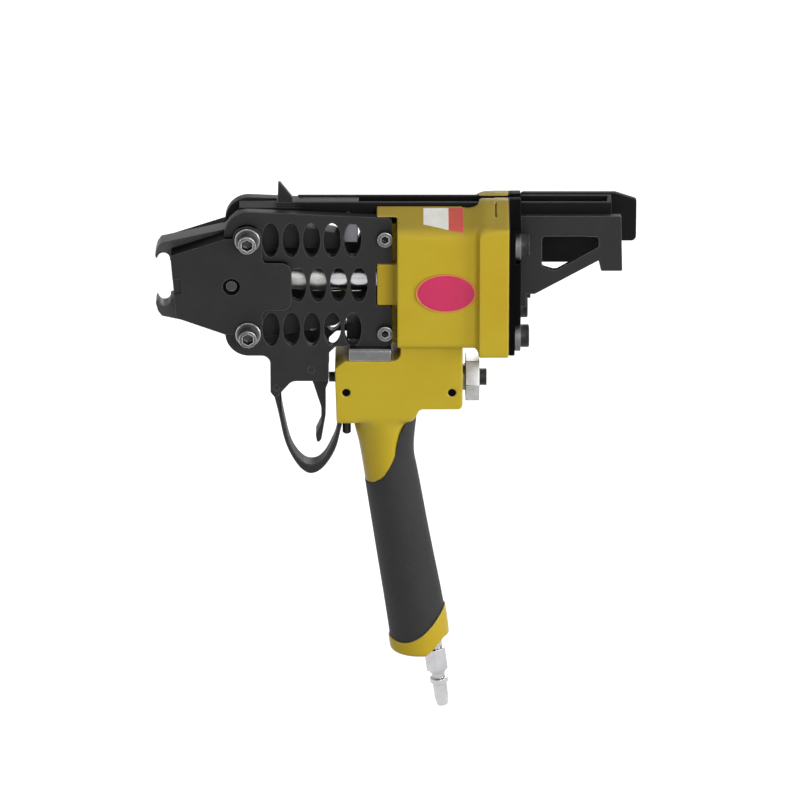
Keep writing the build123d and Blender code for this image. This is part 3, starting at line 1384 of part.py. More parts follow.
def far_screw_places():
    """Where the far plate is screwed to the bracket's tie."""
    z = CHANNEL_FLOOR - TIE_H / 2
    return [(CHANNEL_REAR - TIE_L / 4, z), (CHANNEL_REAR - TIE_L * 3 / 4, z)]


def far_plate():
    profile = outline(
        [
            (CAP_REAR, FAR_PLATE_BOTTOM),
            (CAP_REAR, FAR_PLATE_TOP),
            (FAR_PLATE_REAR - FAR_PLATE_NOSE_L, FAR_PLATE_TOP),
            (FAR_PLATE_REAR, FAR_PLATE_TOP - FAR_PLATE_NOSE_H),
            (FAR_PLATE_REAR, FAR_PLATE_TAIL),
            (FAR_PLATE_HEEL, FAR_PLATE_TAIL),
            (FAR_PLATE_TOE, FAR_PLATE_BOTTOM),
        ],
        [0, *[FAR_PLATE_EDGE_R] * 3, *[FAR_PLATE_TAIL_R] * 3],
    )
    plate = slab(profile, BRACKET_HALF - BRACKET_WALL, BRACKET_HALF)
    for x, z in far_screw_places():
        plate -= shaft_y(MAG_SCREW_R + FIT, BRACKET_HALF - BRACKET_WALL, BRACKET_HALF, x, z)
    return plate


def magazine_screws():
    screws = []
    for y in (-MAG_SCREW_Y, MAG_SCREW_Y):
        for z in (MAG_SCREW_TOP, MAG_SCREW_LOW):
            shank = shaft_x(MAG_SCREW_R, CAP_REAR - MAG_SCREW_DEPTH + GAP, BASE_REAR, y, z)
            screws.append(shank + shaft_x(MAG_SCREW_HEAD_R, BASE_REAR, BASE_REAR + MAG_SCREW_HEAD_H, y, z))
    for x, z in far_screw_places():
        inner = BRACKET_HALF - BRACKET_WALL - MAG_SCREW_DEPTH + GAP
        shank = shaft_y(MAG_SCREW_R, inner, BRACKET_HALF, x, z)
        head = shaft_y(MAG_SCREW_HEAD_R, BRACKET_HALF, BRACKET_HALF + MAG_SCREW_HEAD_H, x, z)
        screws.append(shank + head)
    return group(*screws)


def support_bar():
    solid = block(BAR_FRONT, BAR_REAR, -BLOCK_HALF, BLOCK_HALF, BLOCK_TOP, PLATE_SHELF)
    edges = solid.edges().filter_by(Axis.X).group_by(Axis.Z)[-1]
    return fillet(edges, BAR_EDGE_R)


def main():
    os.makedirs("parts", exist_ok=True)
    jaw = upper_jaw()
    jaw_roller = roller()
    jaw_roller_pin = roller_pin()
    plate = near_side_plate()
    nose = near_nose_plate()
    pin = nose_pin()
    bolt = pivot_bolt()
    washer = pivot_washer()
    nut = pivot_nut()
    spacer = pivot_ring(-PLATE_IN, -JAW_T / 2 - GAP)
    jaw_spring = pivot_ring(JAW_T / 2 + GAP, PLATE_IN)
    screws = [plate_screw(SCREW_Z), plate_screw(-SCREW_Z)]
    screws += [mirrored(screw) for screw in screws]
    spring_front = BORE_FRONT + BUMPER_T
    pieces = {
        "cylinder_body": cylinder_body(),
        "rear_cap": rear_cap(),
        "cap_gasket": cap_gasket(),
        "cap_bolts": cap_bolts(),
        "cap_washers": cap_washers(),
        "near_side_plate": plate,
        "far_side_plate": mirrored(plate),
        "plate_spacer": plate_spacer(),
        "near_nose_plate": nose,
        "far_nose_plate": mirrored(nose),
        "nose_pins": group(pin, mirrored(pin)),
        "plate_screws": group(*screws),
        "support_bar": support_bar(),
        "upper_jaw": jaw,
        "lower_jaw": lower(jaw),
        "upper_jaw_roller": jaw_roller,
        "lower_jaw_roller": lower(jaw_roller),
        "upper_roller_pin": jaw_roller_pin,
        "lower_roller_pin": lower(jaw_roller_pin),
        "pivot_bolts": group(bolt, lower(bolt)),
        "pivot_washers": group(washer, lower(washer), mirrored(washer), lower(mirrored(washer))),
        "pivot_nuts": group(nut, lower(nut)),
        "pivot_spacers": group(spacer, lower(spacer)),
        "jaw_springs": group(jaw_spring, lower(jaw_spring)),
        "drive_wedge": drive_wedge(),
        "wedge_pin": wedge_pin(),
        "piston_rod": piston_rod(),
        "piston": piston(),
        "piston_seal": piston_seal(),
        "piston_nut": piston_nut(),
        "rod_bush": tube_x(BUSH_R, ROD_R + RUN, BOSS_FRONT, BUSH_REAR),
        "rod_seal": tube_x(ROD_SEAL_R, ROD_R + RUN, BUSH_REAR, BORE_FRONT),
        "front_bumper": tube_x(BUMPER_OUT_R, BUMPER_IN_R, BORE_FRONT, spring_front),
        "return_spring": tube_x(SPRING_R, SPRING_R - SPRING_WIRE, spring_front, PISTON_FRONT - GAP),
        "valve_sleeve": valve_sleeve(),
        "valve_seals": valve_seals(),
        "valve_spool": valve_spool(),
        "valve_spring": valve_spring(),
        "valve_plug": valve_plug(),
        "valve_set_screws": set_screws(),
        "grip": grip(),
        "handle_end_cap": handle_end_cap(),
        "air_plug": air_plug(),
        "inlet_filter": inlet_filter(),
        "trigger": trigger(),
        "trigger_pin": cross_pin(TRIGGER_PIN_R, TRIGGER_PIN_X, TRIGGER_PIN_Z),
        "trigger_guard": trigger_guard(),
        "guard_pin": cross_pin(GUARD_PIN_R, GUARD_PIN_X, GUARD_PIN_Z),
        "guard_screw": guard_screw(),
        "magazine_channel": magazine_channel(),
        "magazine_rest": magazine_rest(),
        "near_bracket": near_bracket(),
        "far_plate": far_plate(),
        "magazine_screws": magazine_screws(),
        "pusher": pusher(),
        "feed_spring": feed_spring(),
        "feed_pin": feed_pin(),
    }
    for node, shape in pieces.items():
        save(shape, node)


main()
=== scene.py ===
"""Looks of an air-driven hog ring plier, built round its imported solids."""
import json
import logging
import math
from dataclasses import dataclass
from enum import Enum

import bmesh
import bpy
from mathutils import Matrix, Vector
from mathutils.bvhtree import BVHTree

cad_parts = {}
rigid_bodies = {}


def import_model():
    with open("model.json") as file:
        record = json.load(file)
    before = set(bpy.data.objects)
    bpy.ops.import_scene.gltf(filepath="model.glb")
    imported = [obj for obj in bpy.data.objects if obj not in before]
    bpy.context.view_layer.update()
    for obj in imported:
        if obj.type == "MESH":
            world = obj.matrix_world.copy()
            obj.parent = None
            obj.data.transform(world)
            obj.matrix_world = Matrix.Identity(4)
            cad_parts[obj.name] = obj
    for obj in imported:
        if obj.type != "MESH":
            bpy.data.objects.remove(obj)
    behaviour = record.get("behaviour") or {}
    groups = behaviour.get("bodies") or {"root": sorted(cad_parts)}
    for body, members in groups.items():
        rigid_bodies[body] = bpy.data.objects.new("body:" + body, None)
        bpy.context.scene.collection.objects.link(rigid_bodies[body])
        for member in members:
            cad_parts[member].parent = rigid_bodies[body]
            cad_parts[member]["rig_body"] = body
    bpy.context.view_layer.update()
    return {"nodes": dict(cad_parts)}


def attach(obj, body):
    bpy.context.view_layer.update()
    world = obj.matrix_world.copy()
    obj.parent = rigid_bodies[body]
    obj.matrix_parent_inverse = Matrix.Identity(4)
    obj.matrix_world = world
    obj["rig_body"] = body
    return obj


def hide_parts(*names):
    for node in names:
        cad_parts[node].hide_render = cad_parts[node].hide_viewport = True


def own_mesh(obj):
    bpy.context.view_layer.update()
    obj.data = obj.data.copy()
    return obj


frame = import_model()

MM = 0.001
MERGE = 0.002 * MM
SIXTH = math.pi / 3
CREASE = 40.0
UP = Vector((0.0, 0.0, 1.0))
log = logging.getLogger("ring_plier")

Colour = tuple[float, float, float]
Point = tuple[float, float, float]
Line = tuple[tuple[float, float], ...]
Shell = bmesh.types.BMesh
Corner = bmesh.types.BMVert
Edge = bmesh.types.BMEdge
Face = bmesh.types.BMFace
Mesh = bpy.types.Mesh
Object = bpy.types.Object
Node = bpy.types.Node
Socket = bpy.types.NodeSocket


class Slot(Enum):
    """Material slots of the record, passed along with each new piece."""

    YELLOW = "yellow"
    DARK_STEEL = "dark_steel"
    BRIGHT_STEEL = "bright_steel"
    CHROME = "chrome"
    SPRING_STEEL = "spring_steel"
    RUBBER = "rubber"


class Axis(Enum):
    """Direction that a fastener's head faces."""

    NEAR = (0.0, -1.0, 0.0)
    FAR = (0.0, 1.0, 0.0)
    REAR = (1.0, 0.0, 0.0)

    def turn(self) -> Matrix:
        """Rotation that takes +Z to this direction."""
        return UP.rotation_difference(Vector(self.value)).to_matrix().to_4x4()


Places = list[tuple[Point, Axis]]


def grey(level: float) -> Colour:
    """A colour with the same red, green and blue."""
    return level, level, level


# Meshes and objects


def cad(node: str) -> Object:
    """The CAD object of a node."""
    return frame["nodes"][node]


def merged_shell(node: str) -> Shell:
    """Copy a CAD node's mesh, with its corners merged.

    Args:
        node: The node's name.

    Returns:
        The copy.
    """
    shell = bmesh.new()
    shell.from_mesh(cad(node).data)
    bmesh.ops.remove_doubles(shell, verts=shell.verts, dist=MERGE)
    return shell


def add_ring(shell: Shell, radii: list[float], height: float) -> list[Corner]:
    """Add a ring of corners round Z.

    Args:
        shell: The shell that takes them.
        radii: Radius of each corner, in millimetres.
        height: Their height.

    Returns:
        The corners.
    """
    step = 2 * math.pi / len(radii)
    spots = [(r * math.cos(i * step), r * math.sin(i * step), height) for i, r in enumerate(radii)]
    return [shell.verts.new(Vector(spot) * MM) for spot in spots]


def bridge(shell: Shell, rings: list[list[Corner]]) -> None:
    """Join each ring to the next by faces.

    Args:
        shell: The shell that holds the rings.
        rings: Corners of each ring; a ring of one corner closes the shell to a point.
    """
    steps = max(len(ring) for ring in rings)
    for low, high in zip(rings, rings[1:]):
        for i in range(steps):
            j = (i + 1) % steps
            corners = (low[i % len(low)], low[j % len(low)], high[j % len(high)], high[i % len(high)])
            shell.faces.new(dict.fromkeys(corners))


def to_mesh(shell: Shell, name: str, crease: float | None = None) -> Mesh:
    """Turn a shell into a mesh and free it.

    Args:
        shell: The shell.
        name: The mesh's name.
        crease: Angle in degrees from which edges look sharp, or None for flat faces.

    Returns:
        The mesh.
    """
    mesh = bpy.data.meshes.new(name)
    shell.to_mesh(mesh)
    shell.free()
    if crease:
        mesh.shade_smooth()
        mesh.set_sharp_from_angle(angle=math.radians(crease))
    return mesh


def faces_of(mesh: Mesh) -> BVHTree:
    """A mesh's faces, to cast rays at."""
    return BVHTree.FromPolygons([v.co for v in mesh.vertices], [tuple(p.vertices) for p in mesh.polygons])


def add_object(name: str, data: bpy.types.ID) -> Object:
    """Put a new object in the scene.

    Args:
        name: Its name.
        data: Its mesh, lens or lamp.

    Returns:
        The object.
    """
    obj = bpy.data.objects.new(name, data)
    bpy.context.scene.collection.objects.link(obj)
    return obj


def freeze(obj: Object) -> None:
    """Turn an object's modifiers into its plain mesh.

    Args:
        obj: The object.
    """
    bpy.context.view_layer.update()
    graph = bpy.context.evaluated_depsgraph_get()
    mesh = bpy.data.meshes.new_from_object(obj.evaluated_get(graph), depsgraph=graph)
    obj.modifiers.clear()
    obj.data = mesh


def even_out(obj: Object) -> None:
    """Weigh an object's normals by the size of its faces, so that flat ones look flat.

    Args:
        obj: The object.
    """
    weights = obj.modifiers.new("flat_faces", "WEIGHTED_NORMAL")
    weights.keep_sharp = True
    freeze(obj)


# Shader effects shared by the finishes


class Tree:
    """Short-hand for wiring one node tree."""

    def __init__(self, tree: bpy.types.NodeTree) -> None:
        """Keep the tree that the nodes go into."""
        self.tree = tree

    def add(self, kind: str, **settings: object) -> Node:
        """Add a node.

        Args:
            kind: Blender's node type.
            settings: Values of the node, or of an input when written as in_NAME or in_NUMBER.

        Returns:
            The new node.
        """
        node = self.tree.nodes.new(kind)
        for key, value in settings.items():
            if key.startswith("in_"):
                name = key.removeprefix("in_")
                node.inputs[int(name) if name.isdigit() else name.replace("_", " ")].default_value = value
            else:
                setattr(node, key, value)
        return node

    def group(self, shared: bpy.types.NodeTree, **settings: float) -> Node:
        """Add a shared group, with settings as for any node."""
        return self.add("ShaderNodeGroup", node_tree=shared, **settings)

    def link(self, source: Socket, target: Socket) -> None:
        """Join an output to an input."""
        self.tree.links.new(source, target)

    def wire(self, *links: tuple[Node, str | int, Node, str | int]) -> None:
        """Join outputs to inputs, each given by its node and its name or number."""
        for source, output, target, entry in links:
            self.link(source.outputs[output], target.inputs[entry])

    def feed(self, value: object, socket: Socket) -> None:
        """Give an input a constant, or link it to a socket.

        Args:
            value: The constant or the socket.
            socket: The input.
        """
        if isinstance(value, Socket):
            self.link(value, socket)
        else:
            socket.default_value = value

    def maths(self, operation: str, *values: object, clamp: bool = False) -> Socket:
        """Add a Math node.

        Args:
            operation: Name of the operation.
            values: Sockets or numbers for its inputs.
            clamp: Whether the result is held between 0 and 1.

        Returns:
            The result's socket.
        """
        node = self.add("ShaderNodeMath", operation=operation, use_clamp=clamp)
        for socket, value in zip(node.inputs, values):
            self.feed(value, socket)
        return node.outputs[0]

    def mix(self, mask: Socket, first: object, second: Colour) -> Socket:
        """Blend two colours by a mask.

        Args:
            mask: Socket with the share of the second colour.
            first: Colour or socket where the mask is 0.
            second: Colour where the mask is 1.

        Returns:
            The blended colour's socket.
        """
        node = self.add("ShaderNodeMix", data_type="RGBA")
        self.link(mask, node.inputs["Factor"])
        colours = [s for s in node.inputs if s.type == "RGBA"]
        for socket, value in zip(colours, (first, second)):
            self.feed(value if isinstance(value, Socket) else (*value, 1.0), socket)
        return next(s for s in node.outputs if s.type == "RGBA")

    def spread(self, value: Socket, low: float, high: float, start: float = 0.0, end: float = 1.0) -> Socket:
        """Map a value from the range start to end onto the range low to high.

        Args:
            value: Socket of the value.
            low: Result at the start.
            high: Result at the end.
            start: Value where the result is low.
            end: Value where the result is high.

        Returns:
            The result's socket.
        """
        node = self.add("ShaderNodeMapRange", in_1=start, in_2=end, in_3=low, in_4=high)
        self.link(value, node.inputs[0])
        return node.outputs[0]

    def noise(self, scale: object, detail: float, roughness: float = 0.5) -> Socket:
        """Add noise on Object coordinates.

        Args:
            scale: Socket or number.
            detail: Layers of finer noise.
            roughness: Weight of the finer layers.

        Returns:
            The noise's socket.
        """
        node = self.add("ShaderNodeTexNoise", in_Detail=detail, in_Roughness=roughness)
        self.link(self.add("ShaderNodeTexCoord").outputs["Object"], node.inputs["Vector"])
        self.feed(scale, node.inputs["Scale"])
        return node.outputs[0]


class Effects:
    """Node groups for mottle, for worn edges with painted highlights, for dust with painted shading on faces
    that look up, and for grime with painted shade in corners.
    """

    def __init__(self) -> None:
        """Build each group once."""
        self.mottle = self._mottle()
        self.wear_and_highlight = self._wear_and_highlight()
        self.dust_and_top_shading = self._dust_and_top_shading()
        self.grime_and_shade = self._grime_and_shade()

    @staticmethod
    def _group(name: str, inputs: dict[str, float], *outputs: str) -> tuple[Tree, Node, Node]:
        """Start a group with float sockets.

        Args:
            name: The group's name.
            inputs: Input names with their usual values.
            outputs: Output names.

        Returns:
            The tree, its input node and its output node.
        """
        group = bpy.data.node_groups.new(name, "ShaderNodeTree")
        for key, value in inputs.items():
            socket = group.interface.new_socket(key, in_out="INPUT", socket_type="NodeSocketFloat")
            socket.default_value = value
        for key in outputs:
            group.interface.new_socket(key, in_out="OUTPUT", socket_type="NodeSocketFloat")
        tree = Tree(group)
        return tree, tree.add("NodeGroupInput"), tree.add("NodeGroupOutput")

    def _mottle(self) -> bpy.types.NodeTree:
        """Cloudy tone with a fine grain.

        Returns:
            The group.
        """
        tree, source, sink = self._group("mottle", {"Scale": 60.0, "Grain": 900.0}, "Cloud", "Grain")
        for scale, output in (("Scale", "Cloud"), ("Grain", "Grain")):
            noise = tree.noise(source.outputs[scale], detail=5.0, roughness=0.6)
            tree.link(tree.spread(noise, 0.0, 1.0, start=0.28, end=0.72), sink.inputs[output])
        return tree.tree

    def _wear_and_highlight(self) -> bpy.types.NodeTree:
        """Mask along edges, broken up by noise, for wear and painted highlights.

        Returns:
            The group.
        """
        tree, source, sink = self._group("edge_wear", {"Radius": 0.0012, "Amount": 1.0}, "Mask")
        bevel = tree.add("ShaderNodeBevel", samples=4)
        normal = tree.add("ShaderNodeNewGeometry")
        facing = tree.add("ShaderNodeVectorMath", operation="DOT_PRODUCT")
        tree.wire((source, "Radius", bevel, "Radius"), (bevel, 0, facing, 0), (normal, "Normal", facing, 1))
        edge = tree.maths("SUBTRACT", 1.0, facing.outputs["Value"])
        noise = tree.noise(240.0, detail=6.0)
        broken = tree.maths("MULTIPLY", edge, tree.spread(noise, low=0.0, high=9.0))
        tree.link(tree.maths("MULTIPLY", broken, source.outputs["Amount"], clamp=True), sink.inputs["Mask"])
        return tree.tree

    def _dust_and_top_shading(self) -> bpy.types.NodeTree:
        """Mask on faces that look up, thicker in patches, for dust and for painted shading on top faces.

        Returns:
            The group.
        """
        tree, source, sink = self._group("settled_dust", {"Amount": 0.3, "Scale": 35.0}, "Mask")
        normal = tree.add("ShaderNodeSeparateXYZ")
        tree.link(tree.add("ShaderNodeNewGeometry").outputs["Normal"], normal.inputs[0])
        up = tree.spread(normal.outputs["Z"], 0.0, 1.0, start=0.25)
        noise = tree.noise(source.outputs["Scale"], detail=6.0, roughness=0.65)
        on_top = tree.maths("MULTIPLY", up, tree.spread(noise, low=0.4, high=1.0))
        tree.link(tree.maths("MULTIPLY", on_top, source.outputs["Amount"]), sink.inputs["Mask"])
        return tree.tree

    def _grime_and_shade(self) -> bpy.types.NodeTree:
        """Mask of grime and painted shade in sockets, grooves and inner corners.

        Returns:
            The group.
        """
        tree, source, sink = self._group("corner_grime", {"Reach": 0.004, "Amount": 0.5}, "Mask")
        hollow = tree.add("ShaderNodeAmbientOcclusion", samples=6, only_local=True)
        tree.link(source.outputs["Reach"], hollow.inputs["Distance"])
        closed = tree.spread(hollow.outputs["AO"], 0.0, 1.0, start=0.9, end=0.4)
        tree.link(tree.maths("MULTIPLY", closed, source.outputs["Amount"]), sink.inputs["Mask"])
        return tree.tree


@dataclass(frozen=True)
class Finish:
    """One surface finish: its colours, gloss and the effects on it. Lengths are in metres."""

    name: str
    base: Colour
    shade: Colour
    # Colour of worn edges, and painted highlight along edges.
    worn_and_highlight: Colour
    rough: tuple[float, float]
    metallic: float = 0.0
    cloud: float = 60.0
    grain: float = 900.0
    bump: float = 0.05
    bump_depth: float = 0.0004
    # Strength and radius of the edge mask: wear, and painted highlights along edges.
    wear_and_highlight: float = 0.4
    wear_and_highlight_radius: float = 0.0009
    # Strength, colour and roughness of the mask on faces that look up: dust, and painted shading of top
    # faces.
    dust_and_top_shading: float = 0.12
    dust_and_top_shading_colour: Colour = (0.45, 0.43, 0.4)
    dust_rough: float = 0.25
    # Strength, reach and colour of the corner mask: grime, and painted shade in corners and recesses.
    grime_and_shade: float = 0.35
    grime_and_shade_reach: float = 0.003
    grime_and_shade_colour: Colour = grey(0.008)
    coat: float = 0.0
    coat_roughness: float = 0.15
    specular: float = 0.5

    def make(self, effects: Effects) -> bpy.types.Material:
        """Build the material.

        Args:
            effects: The shared node groups.

        Returns:
            A node material.
        """
        material = bpy.data.materials.new(self.name)
        material.use_nodes = True
        tree = Tree(material.node_tree)
        shader = material.node_tree.nodes["Principled BSDF"]
        mottle = tree.group(effects.mottle, in_Scale=self.cloud, in_Grain=self.grain)
        wear_and_highlight = tree.group(effects.wear_and_highlight, in_Radius=self.wear_and_highlight_radius, in_Amount=self.wear_and_highlight)
        dust_and_top_shading = tree.group(effects.dust_and_top_shading, in_Amount=self.dust_and_top_shading)
        grime_and_shade = tree.group(effects.grime_and_shade, in_Reach=self.grime_and_shade_reach, in_Amount=self.grime_and_shade)
        # Layers: cloudy tone, then edges (wear and painted highlight), faces that look up (dust and painted
        # shading), corners (grime and painted shade).
        colour = tree.mix(mottle.outputs["Cloud"], self.base, self.shade)
        colour = tree.mix(wear_and_highlight.outputs["Mask"], colour, self.worn_and_highlight)
        colour = tree.mix(dust_and_top_shading.outputs["Mask"], colour, self.dust_and_top_shading_colour)
        colour = tree.mix(grime_and_shade.outputs["Mask"], colour, self.grime_and_shade_colour)
        tree.link(colour, shader.inputs["Base Color"])
        rough = tree.spread(mottle.outputs["Grain"], *self.rough)
        rough = tree.maths("ADD", rough, tree.maths("MULTIPLY", dust_and_top_shading.outputs["Mask"], self.dust_rough))
        tree.link(rough, shader.inputs["Roughness"])
        bump = tree.add("ShaderNodeBump", in_Strength=self.bump, in_Distance=self.bump_depth)
        tree.wire((mottle, "Grain", bump, "Height"), (bump, 0, shader, "Normal"))
        shader.inputs["Metallic"].default_value = self.metallic
        shader.inputs["Coat Weight"].default_value = self.coat
        shader.inputs["Coat Roughness"].default_value = self.coat_roughness
        shader.inputs["Specular IOR Level"].default_value = self.specular
        return material


# Yellow enamel: its orange second colour lays painted shade in cloudy patches, its pale worn colour is a
# painted highlight along edges, its dark top colour is painted shade on faces that look up, and its
# orange-brown corner colour is painted shade.
ENAMEL = Finish(
    "yellow_enamel", (0.485, 0.378, 0.020), (0.47, 0.315, 0.012), (0.70, 0.60, 0.26),
    rough=(0.36, 0.50), cloud=14.0, grain=700.0, bump=0.06, wear_and_highlight=0.35, wear_and_highlight_radius=0.0014, dust_and_top_shading=0.6,
    dust_and_top_shading_colour=(0.13, 0.10, 0.065), grime_and_shade=0.3, grime_and_shade_colour=(0.16, 0.095, 0.008), coat=0.05, specular=0.22,
)
# Black oxide: its light worn colour also paints highlights along edges.
BLACK_OXIDE = Finish(
    "black_oxide", (0.0145, 0.0145, 0.015), (0.0090, 0.0090, 0.0095), grey(0.13),
    rough=(0.46, 0.64), cloud=45.0, grain=1500.0, bump=0.10, wear_and_highlight=0.80, dust_and_top_shading=0.05,
    dust_and_top_shading_colour=grey(0.12), specular=0.25,
)
DEEP_BLACK = Finish(
    "deep_black", (0.0050, 0.0050, 0.0053), (0.0030, 0.0030, 0.0032), grey(0.06),
    rough=(0.50, 0.68), cloud=40.0, grain=1400.0, bump=0.10, wear_and_highlight=0.35, dust_and_top_shading=0.55,
    dust_and_top_shading_colour=grey(0.085), specular=0.10,
)
# Oily black: the real black of the rear cap and set screws, and painted shade on the nose plates' top edges
# and pin recesses.
OIL_BLACK_AND_SHADE = Finish(
    "oil_black", (0.0030, 0.0030, 0.0031), (0.0020, 0.0020, 0.0021), grey(0.03),
    rough=(0.42, 0.58), cloud=60.0, grain=1400.0, bump=0.05, wear_and_highlight=0.25, dust_and_top_shading=0.0, specular=0.02,
)
# Jaw black: a lighter copy of the black steel, painted light on the lit jaw tips and nose pins; its pale top
# colour is painted light on faces that look up.
JAW_BLACK_PAINTED_LIGHT = Finish(
    "jaw_black", (0.058, 0.058, 0.059), (0.034, 0.034, 0.035), (0.22, 0.22, 0.215),
    rough=(0.36, 0.54), metallic=0.3, cloud=70.0, grain=1300.0, bump=0.08, wear_and_highlight=0.55, dust_and_top_shading=0.4,
    dust_and_top_shading_colour=grey(0.18), specular=0.35,
)
ZINC = Finish(
    "zinc_plate", (0.48, 0.48, 0.47), (0.30, 0.30, 0.29), (0.60, 0.60, 0.59),
    rough=(0.26, 0.44), metallic=1.0, cloud=130.0, grain=1800.0, bump=0.06, wear_and_highlight=0.3, dust_and_top_shading=0.04, grime_and_shade=0.95,
    grime_and_shade_reach=0.004,
)
# Ground steel: its bright worn colour paints a highlight along the edges as well as wear.
GROUND_STEEL = Finish(
    "ground_steel", (0.18, 0.18, 0.185), (0.115, 0.115, 0.12), (0.62, 0.62, 0.61),
    rough=(0.24, 0.38), metallic=1.0, cloud=70.0, grain=1500.0, bump=0.05, wear_and_highlight=1.4, wear_and_highlight_radius=0.0008,
    dust_and_top_shading=0.10, grime_and_shade=0.6, grime_and_shade_reach=0.004,
)
WASHER_GREY = Finish(
    "washer_grey", grey(0.15), grey(0.10), grey(0.26),
    rough=(0.40, 0.56), metallic=1.0, cloud=160.0, grain=1800.0, bump=0.06, wear_and_highlight=0.5, dust_and_top_shading=0.04,
)
# Bolt steel: dark faces, with a bright worn colour that paints highlights on the edges.
BOLT_STEEL = Finish(
    "bolt_steel", grey(0.15), grey(0.07), (0.72, 0.72, 0.71),
    rough=(0.28, 0.44), metallic=1.0, cloud=160.0, grain=1800.0, bump=0.06, wear_and_highlight=2.2, wear_and_highlight_radius=0.0008,
    dust_and_top_shading=0.04, grime_and_shade=1.0, grime_and_shade_reach=0.004,
)
CHROME = Finish(
    "chrome_plate", (0.56, 0.56, 0.57), (0.42, 0.42, 0.43), grey(0.68),
    rough=(0.10, 0.22), metallic=1.0, cloud=90.0, grain=1200.0, bump=0.02, wear_and_highlight=0.2, dust_and_top_shading=0.02, grime_and_shade=0.8,
)
SPRING_WIRE = Finish(
    "spring_wire", (0.17, 0.17, 0.18), (0.11, 0.11, 0.12), grey(0.34),
    rough=(0.32, 0.47), metallic=1.0, grain=1600.0,
)
TURNED_ALLOY = Finish(
    "turned_alloy", (0.50, 0.50, 0.51), (0.42, 0.42, 0.43), grey(0.60),
    rough=(0.28, 0.42), metallic=1.0, grain=1400.0,
)
BRONZE = Finish(
    "bearing_bronze", (0.46, 0.31, 0.14), (0.36, 0.23, 0.10), (0.56, 0.40, 0.20),
    rough=(0.32, 0.48), metallic=1.0, grain=1400.0,
)
GRIP_RUBBER = Finish(
    "grip_rubber", (0.021, 0.021, 0.022), (0.014, 0.014, 0.015), grey(0.04),
    rough=(0.56, 0.76), cloud=26.0, grain=1400.0, bump=0.30, wear_and_highlight=0.2, dust_and_top_shading=0.10,
    dust_and_top_shading_colour=grey(0.12), specular=0.3,
)
SEAL_RUBBER = Finish(
    "seal_rubber", grey(0.004), grey(0.003), grey(0.03),
    rough=(0.55, 0.7), bump=0.1, specular=0.3,
)
BLACK_BOLT = Finish(
    "black_bolt", grey(0.014), grey(0.009), grey(0.12),
    rough=(0.36, 0.50), metallic=0.3, grain=1600.0, wear_and_highlight=0.35, grime_and_shade=0.9, grime_and_shade_reach=0.004, specular=0.3,
)
BADGE = Finish(
    "badge_lacquer", (0.60, 0.026, 0.125), (0.50, 0.030, 0.085), (0.62, 0.12, 0.18),
    rough=(0.27, 0.31), cloud=30.0, grain=300.0, bump=0.004, wear_and_highlight=0.10, dust_and_top_shading=0.05, coat=0.1, grime_and_shade=0.1,
    specular=0.2,
)
BADGE_RIM = Finish(
    "badge_rim", (0.58, 0.24, 0.035), (0.52, 0.20, 0.025), (0.66, 0.36, 0.10),
    rough=(0.26, 0.36), cloud=60.0, grain=700.0, bump=0.02, wear_and_highlight=0.2, dust_and_top_shading=0.05, coat=0.2, grime_and_shade=0.1,
    specular=0.35,
)
PAPER = Finish(
    "sticker_paper", (0.84, 0.84, 0.79), (0.72, 0.71, 0.66), (0.6, 0.5, 0.35),
    rough=(0.46, 0.62), cloud=120.0, grain=2200.0, bump=0.08, wear_and_highlight=0.2, dust_and_top_shading=0.1, grime_and_shade=0.1, specular=0.3,
)
PAPER_RED = Finish(
    "sticker_red", (0.62, 0.085, 0.065), (0.52, 0.060, 0.045), (0.7, 0.3, 0.2),
    rough=(0.44, 0.60), cloud=120.0, grain=2200.0, bump=0.08, wear_and_highlight=0.2, dust_and_top_shading=0.1, grime_and_shade=0.1, specular=0.3,
)


# Ways to make a piece. Sizes from here on are in millimetres.


